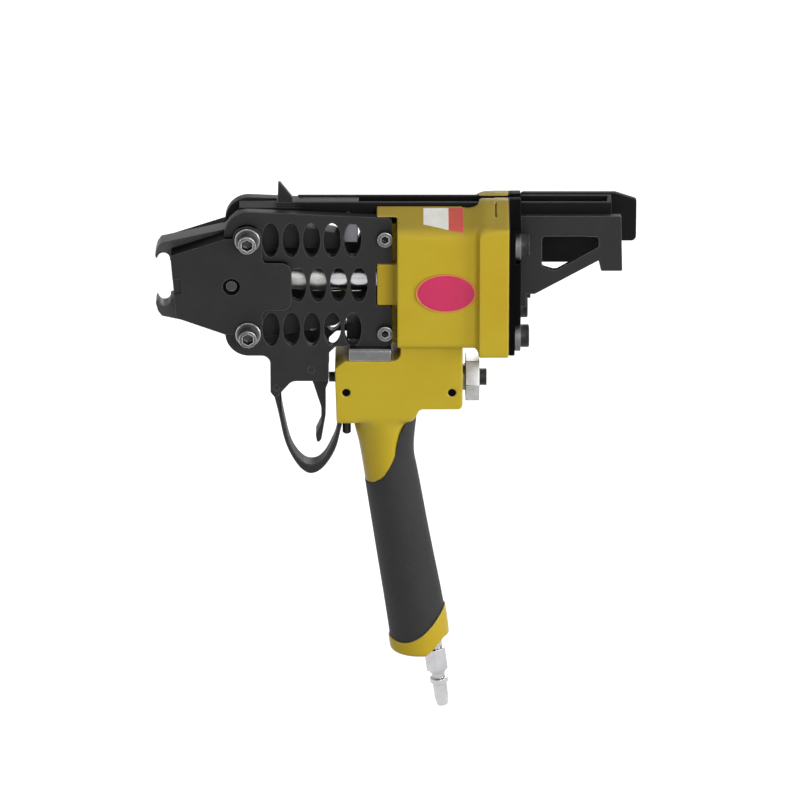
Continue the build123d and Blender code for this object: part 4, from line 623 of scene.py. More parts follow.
@dataclass
class EdgeRounding:
    """Breaks the sharp edges of a closed shell by a small round."""

    width: float
    sharp_angle: float = math.radians(32)
    narrow: float = 1.7
    pull: float = 0.586
    flatness: float = 0.99996

    def apply(self, shell: Shell) -> int:
        """Round a shell in place.

        Args:
            shell: Closed shell with merged corners.

        Returns:
            The number of edges that were rounded.
        """
        shell.normal_update()
        shell.faces.index_update()
        sharp = [e for e in shell.edges if e.calc_face_angle(0.0) > self.sharp_angle]
        ridge = set(sharp)
        tips = {v.co.copy().freeze() for e in sharp for v in e.verts}
        for region in self._regions(shell, ridge):
            rim = sum(e.calc_length() for f in region for e in f.edges if e in ridge)
            area = sum(f.calc_area() for f in region)
            if rim and 2 * area / rim < self.narrow * self.width * MM:
                tips.difference_update(v.co.copy().freeze() for f in region for v in f.verts)
            elif rim:
                self._inset(shell, region)
        at_tip = {v for v in shell.verts if v.co.copy().freeze() in tips}
        moves = []
        for tip in at_tip:
            inner = [e.other_vert(tip) for e in tip.link_edges]
            inner = [v.co for v in inner if v not in at_tip]
            if inner:
                moves.append((tip, tip.co.lerp(sum(inner, Vector()) / len(inner), self.pull)))
        for tip, place in moves:
            tip.co = place
        bmesh.ops.recalc_face_normals(shell, faces=shell.faces)
        return len(sharp)

    def _inset(self, shell: Shell, region: list[Face]) -> None:
        """Draw a stretch in from its rim, and fill a flat one afresh.

        Args:
            shell: The shell that holds it.
            region: The stretch's faces.
        """
        flat = region[0].normal.copy()
        even = all(f.normal.dot(flat) > self.flatness for f in region)
        width = self.width * MM
        bmesh.ops.inset_region(shell, faces=region, thickness=width, use_even_offset=True, use_boundary=True)
        if not even or len(region) < 3:
            return
        inside = set(region)
        border = {e: None for f in region for e in f.edges if not inside.issuperset(e.link_faces)}
        bmesh.ops.delete(shell, geom=region, context="FACES")
        bmesh.ops.triangle_fill(shell, edges=list(border), use_beauty=True, use_dissolve=False, normal=flat)

    @staticmethod
    def _regions(shell: Shell, ridge: set[Edge]) -> list[list[Face]]:
        """Sort faces into stretches that no sharp edge crosses.

        Args:
            shell: The shell, with its face numbers up to date.
            ridge: Its sharp edges.

        Returns:
            The faces of each stretch.
        """
        seen = [False] * len(shell.faces)
        regions = []
        for first in list(shell.faces):
            if seen[first.index]:
                continue
            seen[first.index] = True
            region = [first]
            for face in region:
                for edge in face.edges:
                    if edge in ridge:
                        continue
                    for other in edge.link_faces:
                        if not seen[other.index]:
                            seen[other.index] = True
                            region.append(other)
            regions.append(region)
        return regions


class Workshop:
    """Makes materials and pieces for the other classes."""

    crease = 58.0

    def __init__(self) -> None:
        """Build the shared effects."""
        self.effects = Effects()
        self._materials: dict[str, bpy.types.Material] = {}

    def material(self, finish: Finish) -> bpy.types.Material:
        """Find a finish's material, which is made on first use.

        Args:
            finish: The finish.

        Returns:
            The material.
        """
        if finish.name not in self._materials:
            self._materials[finish.name] = finish.make(self.effects)
        return self._materials[finish.name]

    def dress(self, piece: Object, finish: Finish) -> None:
        """Give a piece one material all over."""
        piece.data.materials.clear()
        piece.data.materials.append(self.material(finish))

    def dress_nodes(self, finish: Finish, *nodes: str) -> None:
        """Dress CAD nodes that keep their own shape.

        Args:
            finish: The finish they take.
            nodes: Their names.
        """
        for node in nodes:
            self.dress(cad(node), finish)
            log.info("dressed %s in %s", node, finish.name)

    @staticmethod
    def hand_over(obj: Object, slot: Slot, node: str | None) -> None:
        """Put a finished piece on its body.

        Args:
            obj: The piece.
            slot: The record's slot for it; not used.
            node: CAD node that it stands for, or None where it comes on top.
        """
        body = cad(node)["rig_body"] if node else "body"
        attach(obj, body)
        if node:
            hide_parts(node)
        log.info("built %s on %s: %d faces", obj.name, body, len(obj.data.polygons))

    def piece(self, name: str, mesh: Mesh, slot: Slot, finish: Finish, node: str | None = None) -> Object:
        """Make a piece from a finished mesh.

        Args:
            name: The piece's name.
            mesh: Its mesh, in place.
            slot: The record's slot for it.
            finish: Its finish.
            node: CAD node that it stands for, or None where it comes on top.

        Returns:
            The new piece.
        """
        obj = add_object(name, mesh)
        self.dress(obj, finish)
        self.hand_over(obj, slot, node)
        return obj

    def soften(self, node: str, slot: Slot, finish: Finish, width: float) -> Object:
        """Replace a CAD node by a copy with rounded edges.

        Args:
            node: The node's name.
            slot: The record's slot for it.
            finish: Its finish.
            width: Size of the rounding.

        Returns:
            The copy.
        """
        shell = merged_shell(node)
        rounded = EdgeRounding(width).apply(shell)
        name = f"{node}_edged"
        obj = add_object(name, to_mesh(shell, name, self.crease))
        even_out(obj)
        self.dress(obj, finish)
        self.hand_over(obj, slot, node)
        log.info("rounded %d edges of %s", rounded, node)
        return obj


@dataclass(frozen=True)
class Zone:
    """Box whose effect fades out towards its sides."""

    low: Point
    high: Point
    fade: float = 3.0

    def weight(self, place: Vector) -> float:
        """Share from 0 outside the box to 1 well inside it.

        Args:
            place: Point in metres.

        Returns:
            The share.
        """
        inside = min(min(p / MM - a, b - p / MM) for p, a, b in zip(place, self.low, self.high))
        return min(1.0, max(0.0, inside / self.fade))


@dataclass
class CastSkin:
    """Soft skin of a casting, grown from its sharp solid."""

    voxel: float = 0.6
    edge_passes: int = 5
    blend_passes: int = 220
    kept_faces: int = 150000
    lift: float = 0.1
    reach: float = 60.0
    blends: tuple[Zone, ...] = ()
    slot: Zone | None = None
    slot_depth: float = 2.0
    slot_feel: float = 2.0

    def grow(self, node: str) -> Mesh:
        """Make the skin of one CAD node.

        Args:
            node: The node's name.

        Returns:
            A closed mesh with soft edges, in place.
        """
        name = f"{node}_skin"
        obj = add_object(name, to_mesh(merged_shell(node), name))
        cells = obj.modifiers.new("cells", "REMESH")
        cells.mode = "VOXEL"
        cells.voxel_size = self.voxel * MM
        freeze(obj)
        self._weigh(obj)
        for group, passes in (("edges", self.edge_passes), ("blends", self.blend_passes)):
            smooth = obj.modifiers.new(group, "SMOOTH")
            smooth.vertex_group = group
            smooth.iterations = passes
        freeze(obj)
        thin = obj.modifiers.new("thin", "DECIMATE")
        thin.ratio = min(1.0, self.kept_faces / (2 * len(obj.data.polygons)))
        freeze(obj)
        if self.slot:
            self._cut_slot(obj)
        obj.data.shade_smooth()
        even_out(obj)
        mesh = obj.data
        bpy.data.objects.remove(obj)
        return mesh

    def _weigh(self, obj: Object) -> None:
        """Mark the corners that may move: those on the outside, and those in the blends.

        Args:
            obj: The skin's object.
        """
        surface = faces_of(obj.data)
        edges = obj.vertex_groups.new(name="edges")
        blends = obj.vertex_groups.new(name="blends")
        for corner in obj.data.vertices:
            start = corner.co + corner.normal * self.lift * MM
            if surface.ray_cast(start, corner.normal, self.reach * MM)[0]:
                continue
            edges.add([corner.index], 1.0, "REPLACE")
            share = max((z.weight(corner.co) for z in self.blends), default=0.0)
            if share:
                blends.add([corner.index], share, "REPLACE")

    def _cut_slot(self, obj: Object) -> None:
        """Cut a narrow slot that follows the slope below it.

        Args:
            obj: The skin's object.
        """
        (x0, y0, _), (x1, y1, top) = self.slot.low, self.slot.high
        surface = faces_of(obj.data)
        corners = []
        for x in (x0, x1):
            for y in (y0, y1):
                roof = surface.ray_cast(Vector((x0 - self.slot_feel, y, top)) * MM, -UP)[0].z / MM
                corners += [(x, y, roof - self.slot_depth), (x, y, top)]
        box = bpy.data.meshes.new("slot_cutter")
        box.from_pydata([Vector(c) * MM for c in corners], [], [
            (0, 1, 3, 2), (4, 6, 7, 5), (0, 4, 5, 1), (2, 3, 7, 6), (0, 2, 6, 4), (1, 5, 7, 3),
        ])
        cutter = add_object("slot_cutter", box)
        cut = obj.modifiers.new("slot", "BOOLEAN")
        cut.operation = "DIFFERENCE"
        cut.object = cutter
        freeze(obj)
        bpy.data.objects.remove(cutter)


@dataclass(frozen=True)
class SocketScrew:
    """Screw along Z with a six-sided socket, its head's seat at height 0."""

    head_r: float
    head_h: float
    shank_r: float
    shank_l: float
    socket: float
    depth: float
    edge: float
    knurls: int = 0
    facets: int = 12
    groove: float = 0.18
    run_out: float = 0.2
    seat_edge: float = 0.3
    mouth: float = 0.25
    tip_r: float = 0.82
    tip_l: float = 0.2
    drill: float = 0.15
    dome: float = 0.3

    def mesh(self) -> Mesh:
        """Build the screw.

        Returns:
            A closed mesh.
        """
        steps = 6 * max(self.facets, self.knurls // 3)
        groove = self.groove if self.knurls else 0.0
        top = self.head_h
        edge = self.edge
        shell = bmesh.new()

        def ring(radius: float, height: float, cut: float = 0.0) -> list[Corner]:
            """Add one ring of corners, cut in at every other one."""
            return add_ring(shell, [radius - cut * (i % 2) for i in range(steps)], height)

        def hexagon(height: float, grow: float = 0.0) -> list[Corner]:
            """Add one ring of corners round the socket's six sides."""
            turns = [(2 * math.pi * i / steps + SIXTH / 2) % SIXTH - SIXTH / 2 for i in range(steps)]
            return add_ring(shell, [(self.socket / 2 + grow) / math.cos(turn) for turn in turns], height)

        rings = [
            ring(self.shank_r * self.tip_r, -self.shank_l),
            ring(self.shank_r, -self.shank_l + self.shank_r * self.tip_l),
            ring(self.shank_r, 0.0),
            ring(self.head_r - self.seat_edge, 0.0),
            ring(self.head_r, self.seat_edge),
            ring(self.head_r, self.seat_edge + self.run_out, groove),
            ring(self.head_r, top - edge - self.run_out, groove),
            ring(self.head_r, top - edge),
            ring(self.head_r - edge * self.dome, top - edge * self.dome),
            ring(self.head_r - edge, top),
            hexagon(top, self.mouth),
            hexagon(top - self.mouth),
            hexagon(top - self.depth),
            add_ring(shell, [0.0], top - self.depth - self.socket * self.drill),
        ]
        shell.faces.new(reversed(rings[0]))
        bridge(shell, rings)
        bmesh.ops.recalc_face_normals(shell, faces=shell.faces)
        return to_mesh(shell, "socket_screw")


@dataclass(frozen=True)
class Washer:
    """Flat washer along Z with broken edges, its seat at height 0."""

    rim: float
    thickness: float
    bore: float = 4.03
    edge: float = 0.3
    lip: float = 0.27
    steps: int = 64

    def mesh(self) -> Mesh:
        """Build the washer.

        Returns:
            A closed mesh.
        """
        rim, bore, edge, top = self.rim, self.bore, self.edge, self.thickness
        profile = (
            (bore, 0.0), (rim - edge, 0.0), (rim, edge), (rim, top - edge), (rim - edge, top),
            (bore + self.lip, top), (bore, top - edge),
        )
        shell = bmesh.new()
        rings = [add_ring(shell, [radius] * self.steps, height) for radius, height in profile]
        bridge(shell, [*rings, rings[0]])
        bmesh.ops.recalc_face_normals(shell, faces=shell.faces)
        return to_mesh(shell, "washer")


class NodeTool:
    """Geometry Nodes tree that ends in real, painted geometry."""

    def __init__(self, name: str, workshop: Workshop, **inputs: str) -> None:
        """Start the tree.

        Args:
            name: The tree's name.
            workshop: Maker of the pieces.
            inputs: Kind of each input, by its name.
        """
        self.workshop = workshop
        self.ids: dict[str, str] = {}
        group = bpy.data.node_groups.new(name, "GeometryNodeTree")
        for key, kind in {**inputs, "Finish": "Material"}.items():
            socket = group.interface.new_socket(key, in_out="INPUT", socket_type=f"NodeSocket{kind}")
            self.ids[key] = socket.identifier
        group.interface.new_socket("Geometry", in_out="OUTPUT", socket_type="NodeSocketGeometry")
        self.nodes = Tree(group)
        self.source = self.nodes.add("NodeGroupInput")

    def close(self, last: Node) -> None:
        """Make a node's geometry real, paint it and put it out.

        Args:
            last: The node.
        """
        real = self.nodes.add("GeometryNodeRealizeInstances")
        paint = self.nodes.add("GeometryNodeSetMaterial")
        sink = self.nodes.add("NodeGroupOutput")
        self.nodes.wire((last, 0, real, 0), (real, 0, paint, "Geometry"), (paint, 0, sink, 0))
        self.nodes.wire((self.source, "Finish", paint, "Material"))

    def run(self, name: str, mesh: Mesh, finish: Finish, **values: object) -> Object:
        """Put a mesh through the tree.

        Args:
            name: Name of the object.
            mesh: The mesh that goes in.
            finish: Finish of what comes out.
            values: The other inputs' values, by name.

        Returns:
            An object with a plain mesh.
        """
        obj = add_object(name, mesh)
        modifier = obj.modifiers.new("nodes", "NODES")
        modifier.node_group = self.nodes.tree
        for key, value in {**values, "Finish": self.workshop.material(finish)}.items():
            modifier[self.ids[key]] = value
        freeze(obj)
        return obj


class SetOut(NodeTool):
    """Copies a small piece to each of a set of places."""

    crease = 35.0

    def __init__(self, workshop: Workshop) -> None:
        """Build the tree once.

        Args:
            workshop: Maker of the pieces.
        """
        super().__init__("set_out", workshop, Geometry="Geometry", Piece="Object")
        points = self.nodes.add("GeometryNodeMeshToPoints")
        info = self.nodes.add("GeometryNodeObjectInfo", transform_space="ORIGINAL", in_As_Instance=True)
        turn = self.nodes.add("GeometryNodeInputNamedAttribute", data_type="FLOAT_VECTOR", in_Name="turn")
        copies = self.nodes.add("GeometryNodeInstanceOnPoints")
        self.nodes.wire(
            (self.source, "Geometry", points, "Mesh"),
            (self.source, "Piece", info, "Object"),
            (points, 0, copies, "Points"),
            (info, "Geometry", copies, "Instance"),
            (turn, "Attribute", copies, "Rotation"),
        )
        self.close(copies)

    def place(self, node: str, shape: Mesh, places: Places, finish: Finish, slot: Slot) -> None:
        """Copy a shape to its places and replace a CAD node by the copies.

        Args:
            node: CAD node that the copies stand for.
            shape: Mesh of one copy, along +Z.
            places: Seat point and facing of each copy.
            finish: The copies' finish.
            slot: The record's slot for them.
        """
        name = f"{node}_turned"
        pattern = bpy.data.objects.new(f"{name}_pattern", shape)
        mesh = bpy.data.meshes.new(f"{name}_places")
        mesh.from_pydata([Vector(point) * MM for point, _ in places], [], [])
        turn = mesh.attributes.new("turn", "FLOAT_VECTOR", "POINT")
        for item, (_, axis) in zip(turn.data, places):
            item.vector = axis.turn().to_euler()
        obj = self.run(name, mesh, finish, Piece=pattern)
        bpy.data.objects.remove(pattern)
        obj.data.shade_smooth()
        obj.data.set_sharp_from_angle(angle=math.radians(self.crease))
        self.workshop.hand_over(obj, slot, node)


@dataclass(frozen=True)
class Coil:
    """Spring round a straight axis, with its radius at the wire's middle."""

    radius: float
    wire: float
    turns: float
    start: Point
    end: Point


class WoundWire(NodeTool):
    """Winds a wire into a coil."""

    def __init__(self, workshop: Workshop) -> None:
        """Build the tree once.

        Args:
            workshop: Maker of the pieces.
        """
        super().__init__("wound_wire", workshop, Radius="Float", Wire="Float", Turns="Float", Length="Float")
        coil = self.nodes.add("GeometryNodeCurveSpiral", in_Resolution=40)
        wire = self.nodes.add("GeometryNodeCurvePrimitiveCircle", in_Resolution=10)
        tube = self.nodes.add("GeometryNodeCurveToMesh", in_Fill_Caps=True)
        self.nodes.wire(
            (self.source, "Radius", coil, "Start Radius"),
            (self.source, "Radius", coil, "End Radius"),
            (self.source, "Turns", coil, "Rotations"),
            (self.source, "Length", coil, "Height"),
            (self.source, "Wire", wire, "Radius"),
            (coil, 0, tube, "Curve"),
            (wire, 0, tube, "Profile Curve"),
        )
        self.close(tube)

    def wind(self, node: str, *coils: Coil) -> Object:
        """Replace a CAD spring by wound ones.

        Args:
            node: The spring's node.
            coils: Size and place of each coil.

        Returns:
            The new piece.
        """
        name = f"{node}_wound"
        shell = bmesh.new()
        for coil in coils:
            axis = (Vector(coil.end) - Vector(coil.start)) * MM
            sizes = {"Radius": coil.radius * MM, "Wire": coil.wire * MM, "Turns": coil.turns}
            obj = self.run(name, bpy.data.meshes.new(name), SPRING_WIRE, **sizes, Length=axis.length)
            turn = UP.rotation_difference(axis).to_matrix().to_4x4()
            obj.data.transform(Matrix.Translation(Vector(coil.start) * MM) @ turn)
            shell.from_mesh(obj.data)
            bpy.data.objects.remove(obj)
        mesh = to_mesh(shell, name)
        mesh.shade_smooth()
        return self.workshop.piece(name, mesh, Slot.SPRING_STEEL, SPRING_WIRE, node)


# Studio


@dataclass(frozen=True)
class Lamp:
    """Square soft box that looks at the object's middle, in metres and watts."""

    name: str
    place: Point
    size: float
    power: float


LAMPS = (
    Lamp("top", (-0.3, -0.5, 1.5), size=1.2, power=4.0),
    Lamp("front", (0.75, -1.75, 0.75), size=1.0, power=21.5),
    Lamp("side", (1.7, -0.7, 0.4), size=0.8, power=18.0),
    Lamp("back", (0.5, 1.8, 0.7), size=1.1, power=15.0),
    Lamp("nose", (-1.7, 0.1, 0.6), size=0.9, power=5.0),
)


@dataclass
class Studio:
    """Camera, lights, pale floor and white surroundings. Distances are in metres."""

    elevation: float = 22.0
    distance: float = 4.0
    frame_width: float = 800 / 1.7 * MM
    centre_x: float = 138.2 * MM
    centre_height: float = -73.2 * MM
    sensor: float = 36.0
    view_end: float = 50.0
    floor_z: float = -278.0 * MM
    floor_half: float = 6.0
    floor_grey: float = 0.5
    floor_glow: float = 0.8
    fill: float = 0.30
    dome_start: float = 0.28
    dome_end: float = 0.85
    overhead: float = 0.45

    def build(self) -> None:
        """Make everything that isn't the object."""
        self._camera()
        self._lights()
        self._floor()
        self._world()

    def _camera(self) -> None:
        """Long lens at the photograph's angle."""
        tilt = math.radians(self.elevation)
        up = Vector((0, math.sin(tilt), math.cos(tilt)))
        ahead = Vector((0, math.cos(tilt), -math.sin(tilt)))
        target = Vector((self.centre_x, 0, 0)) + up * self.centre_height
        lens = bpy.data.cameras.new("camera")
        lens.sensor_width = self.sensor
        lens.lens = self.sensor * self.distance / self.frame_width
        lens.clip_end = self.view_end
        camera = add_object("camera", lens)
        camera.location = target - ahead * self.distance
        camera.rotation_euler = ahead.to_track_quat("-Z", "Y").to_euler()
        bpy.context.scene.camera = camera

    def _lights(self) -> None:
        """Soft boxes above, in front, behind and at both ends."""
        middle = Vector((self.centre_x, 0, self.centre_height))
        for lamp in LAMPS:
            data = bpy.data.lights.new(lamp.name, "AREA")
            data.shape = "SQUARE"
            data.size = lamp.size
            data.energy = lamp.power
            obj = add_object(lamp.name, data)
            obj.location = middle + Vector(lamp.place)
            obj.rotation_euler = (-Vector(lamp.place)).to_track_quat("-Z", "Y").to_euler()

    @staticmethod
    def _seen(tree: Tree) -> Socket:
        """Mask of the rays that show the surroundings.

        Args:
            tree: The tree that takes its nodes.

        Returns:
            The mask's socket.
        """
        path = tree.add("ShaderNodeLightPath")
        seen = tree.maths("MAXIMUM", path.outputs["Is Camera Ray"], path.outputs["Is Glossy Ray"])
        return tree.maths("MAXIMUM", seen, path.outputs["Is Transmission Ray"])

    def _floor(self) -> None:
        """Pale floor that is white to the eye but keeps the shadow."""
        half = self.floor_half
        square = ((-half, -half), (half, -half), (half, half), (-half, half))
        mesh = bpy.data.meshes.new("floor")
        mesh.from_pydata([(x, y, self.floor_z) for x, y in square], [], [(0, 1, 2, 3)])
        floor = add_object("floor", mesh)
        material = bpy.data.materials.new("pale_floor")
        material.use_nodes = True
        nodes = material.node_tree.nodes
        nodes.remove(nodes["Principled BSDF"])
        tree = Tree(material.node_tree)
        diffuse = tree.add("ShaderNodeBsdfDiffuse", in_Color=(*grey(self.floor_grey), 1.0))
        glow = tree.add("ShaderNodeEmission", in_Strength=self.floor_glow)
        both = tree.add("ShaderNodeAddShader")
        choice = tree.add("ShaderNodeMixShader")
        tree.link(self._seen(tree), choice.inputs[0])
        tree.wire(
            (diffuse, 0, both, 0),
            (glow, 0, both, 1),
            (diffuse, 0, choice, 1),
            (both, 0, choice, 2),
            (choice, 0, nodes["Material Output"], "Surface"),
        )
        mesh.materials.append(material)

    def _world(self) -> None:
        """White round about, greyer overhead, with soft light on the object."""
        world = bpy.data.worlds.new("surroundings")
        world.use_nodes = True
        bpy.context.scene.world = world
        tree = Tree(world.node_tree)
        sky = world.node_tree.nodes["Background"]
        sky.inputs["Color"].default_value = (1.0, 1.0, 1.0, 1.0)
        height = tree.add("ShaderNodeSeparateXYZ")
        tree.link(tree.add("ShaderNodeTexCoord").outputs["Generated"], height.inputs[0])
        dome = tree.spread(height.outputs["Z"], 1.0, self.overhead, self.dome_start, self.dome_end)
        level = tree.spread(self._seen(tree), self.fill, 1.0)
        tree.link(tree.maths("MULTIPLY", level, dome), sky.inputs["Strength"])
        bpy.context.scene.view_settings.view_transform = "Standard"


# Sub-assemblies


@dataclass
class Casting:
    """Yellow cylinder casting with its blank badge and sticker, the rear cap and the handle's end cap."""

    workshop: Workshop
    neck: Zone = Zone((111.0, -40.0, -108.0), (158.0, 40.0, -80.0), fade=5.0)
    roof_flare: Zone = Zone((174.0, -40.0, 36.0), (194.0, 40.0, 70.0), fade=5.0)
    roof_slot: Zone = Zone((193.5, -22.0, 38.0), (194.7, -9.6, 70.0))
    cap_edge: float = 0.6
    face_y: float = -28.0
    badge_x: float = 165.0
    badge_z: float = -0.4
    badge_w: float = 36.0
    badge_h: float = 24.0
    badge_t: float = 0.9
    badge_steps: int = 96
    badge_crease: float = 50.0
    rim_share: float = 0.93
    sticker_t: float = 0.15
    sticker_columns: int = 14
    sticker_rows: int = 18
    sticker_top: Line = ((151.8, -9.6), (175.3, -9.2))
    sticker_low: Line = ((151.8, -21.6), (167.6, -25.6), (175.3, -26.4))
    red_from: float = 166.5
    above: float = 80.0

    def build(self) -> None:
        """Grow the castings' soft skins, then add the blank labels."""
        skin = CastSkin(blends=(self.neck, self.roof_flare), slot=self.roof_slot)
        surface = self._cast("cylinder_body", skin)
        self._cast("handle_end_cap", CastSkin(voxel=0.5, kept_faces=30000))
        self.workshop.soften("rear_cap", Slot.DARK_STEEL, OIL_BLACK_AND_SHADE, self.cap_edge)
        self.workshop.dress_nodes(SEAL_RUBBER, "cap_gasket")
        self._badge()
        left, right = self.sticker_top[0][0], self.sticker_top[-1][0]
        self._label("blank_sticker", surface, left, self.red_from, PAPER)
        self._label("blank_sticker_end", surface, self.red_from, right, PAPER_RED)

    def _cast(self, node: str, skin: CastSkin) -> BVHTree:
        """Replace a casting by its soft skin.

        Args:
            node: The casting's node.
            skin: How its skin is grown.

        Returns:
            The skin's faces, to lay things on.
        """
        mesh = skin.grow(node)
        self.workshop.piece(f"{node}_cast", mesh, Slot.YELLOW, ENAMEL, node)
        return faces_of(mesh)

    def _badge(self) -> None:
        """Blank domed oval on the near face, with a thin rim."""
        edge = self.rim_share
        rim = ((1.0, 0.0), (1.0, 0.6), (0.985, 0.9), (edge + 0.01, 0.9), (edge, 0.7), (edge, 0.0), (1.0, 0.0))
        dome = ((0.0, 0.0), (edge, 0.0), (edge, 0.66), (edge - 0.03, 0.76), (0.6, 0.92), (0.0, 1.0))
        self._oval("blank_badge_rim", rim, BADGE_RIM)
        self._oval("blank_badge", dome, BADGE)

    def _oval(self, name: str, section: Line, finish: Finish) -> None:
        """Sweep a section round the badge's oval.

        Args:
            name: The piece's name.
            section: Share of the oval's size and of the badge's thickness at each corner.
            finish: The piece's finish.
        """
        shell = bmesh.new()
        rings = []
        for share, lift in section:
            ring = []
            for i in range(self.badge_steps if share else 1):
                angle = 2 * math.pi * i / self.badge_steps
                x = self.badge_x + share * self.badge_w / 2 * math.cos(angle)
                z = self.badge_z + share * self.badge_h / 2 * math.sin(angle)
                ring.append(shell.verts.new(Vector((x, self.face_y - lift * self.badge_t, z)) * MM))
            rings.append(ring)
        bridge(shell, rings)
        bmesh.ops.remove_doubles(shell, verts=shell.verts, dist=MERGE)
        bmesh.ops.recalc_face_normals(shell, faces=shell.faces)
        self.workshop.piece(name, to_mesh(shell, name, self.badge_crease), Slot.YELLOW, finish)

    @staticmethod
    def _along(line: Line, x: float) -> float:
        """Height of a broken line.

        Args:
            line: Its corners, from left to right.
            x: Where the height is taken.

        Returns:
            The height.
        """
        for (x0, y0), (x1, y1) in zip(line, line[1:]):
            if x <= x1:
                break
        return y0 + (y1 - y0) * (x - x0) / (x1 - x0)

    def _label(self, name: str, surface: BVHTree, left: float, right: float, finish: Finish) -> None:
        """Lay one stretch of the blank sticker on the roof and over its eave.

        Args:
            name: The piece's name.
            surface: The casting's faces.
            left: Where the stretch starts.
            right: Where it ends.
            finish: Its finish.
        """
        columns, rows = self.sticker_columns, self.sticker_rows
        shell = bmesh.new()
        rings = []
        for i in range(columns + 1):
            x = left + (right - left) * i / columns
            top = self._along(self.sticker_top, x)
            low = self._along(self.sticker_low, x)
            starts = [Vector((x, top + (low - top) * j / rows, self.above)) * MM for j in range(rows + 1)]
            hits = [surface.ray_cast(start, -UP) for start in starts]
            under = [shell.verts.new(hit[0]) for hit in hits]
            over = [shell.verts.new(hit[0] + hit[1] * self.sticker_t * MM) for hit in hits]
            rings.append(under + over[::-1])
        bridge(shell, rings)
        for ring in (rings[0], rings[-1]):
            for j in range(rows):
                shell.faces.new((ring[j], ring[j + 1], ring[-j - 2], ring[-j - 1]))
        bmesh.ops.recalc_face_normals(shell, faces=shell.faces)
        self.workshop.piece(name, to_mesh(shell, name, CREASE), Slot.YELLOW, finish)


@dataclass
class SheetMetal:
    """Side plates, nose plates, the magazine's plates, the trigger and the support bar."""

    workshop: Workshop
    plate_edge: float = 0.3
    bent_edge: float = 0.5
    rest_edge: float = 0.4
    recess_x: float = 39.4
    recess_r: float = 5.1
    recess_lip: float = 0.25
    nose_out: float = 19.0
    edge_slope: float = 0.75

    def build(self) -> None:
        """Round and dress each plate."""
        soften = self.workshop.soften
        for node in ("near_side_plate", "far_side_plate", "near_nose_plate", "far_nose_plate"):
            plate = soften(node, Slot.DARK_STEEL, BLACK_OXIDE, self.plate_edge)
            if node.endswith("nose_plate"):
                self._paint_shade_black(plate)
        for node in ("magazine_channel", "far_plate", "plate_spacer"):
            soften(node, Slot.DARK_STEEL, DEEP_BLACK, self.bent_edge)
        self.workshop.dress_nodes(BLACK_OXIDE, "near_bracket")
        soften("magazine_rest", Slot.BRIGHT_STEEL, SPRING_WIRE, self.rest_edge)
        soften("trigger", Slot.DARK_STEEL, BLACK_OXIDE, self.plate_edge)
        soften("support_bar", Slot.BRIGHT_STEEL, GROUND_STEEL, self.bent_edge)

    def _paint_shade_black(self, plate: Object) -> None:
        """Paint a nose plate's top edge and the recess round its pin black, as painted shade.

        Args:
            plate: A nose plate.
        """
        plate.data.materials.append(self.workshop.material(OIL_BLACK_AND_SHADE))
        for face in plate.data.polygons:
            x, y, z = face.center / MM
            deep = abs(y) < self.nose_out - self.recess_lip
            sunk = deep and math.hypot(x - self.recess_x, z) < self.recess_r
            if sunk or face.normal.z > self.edge_slope:
                face.material_index = 1


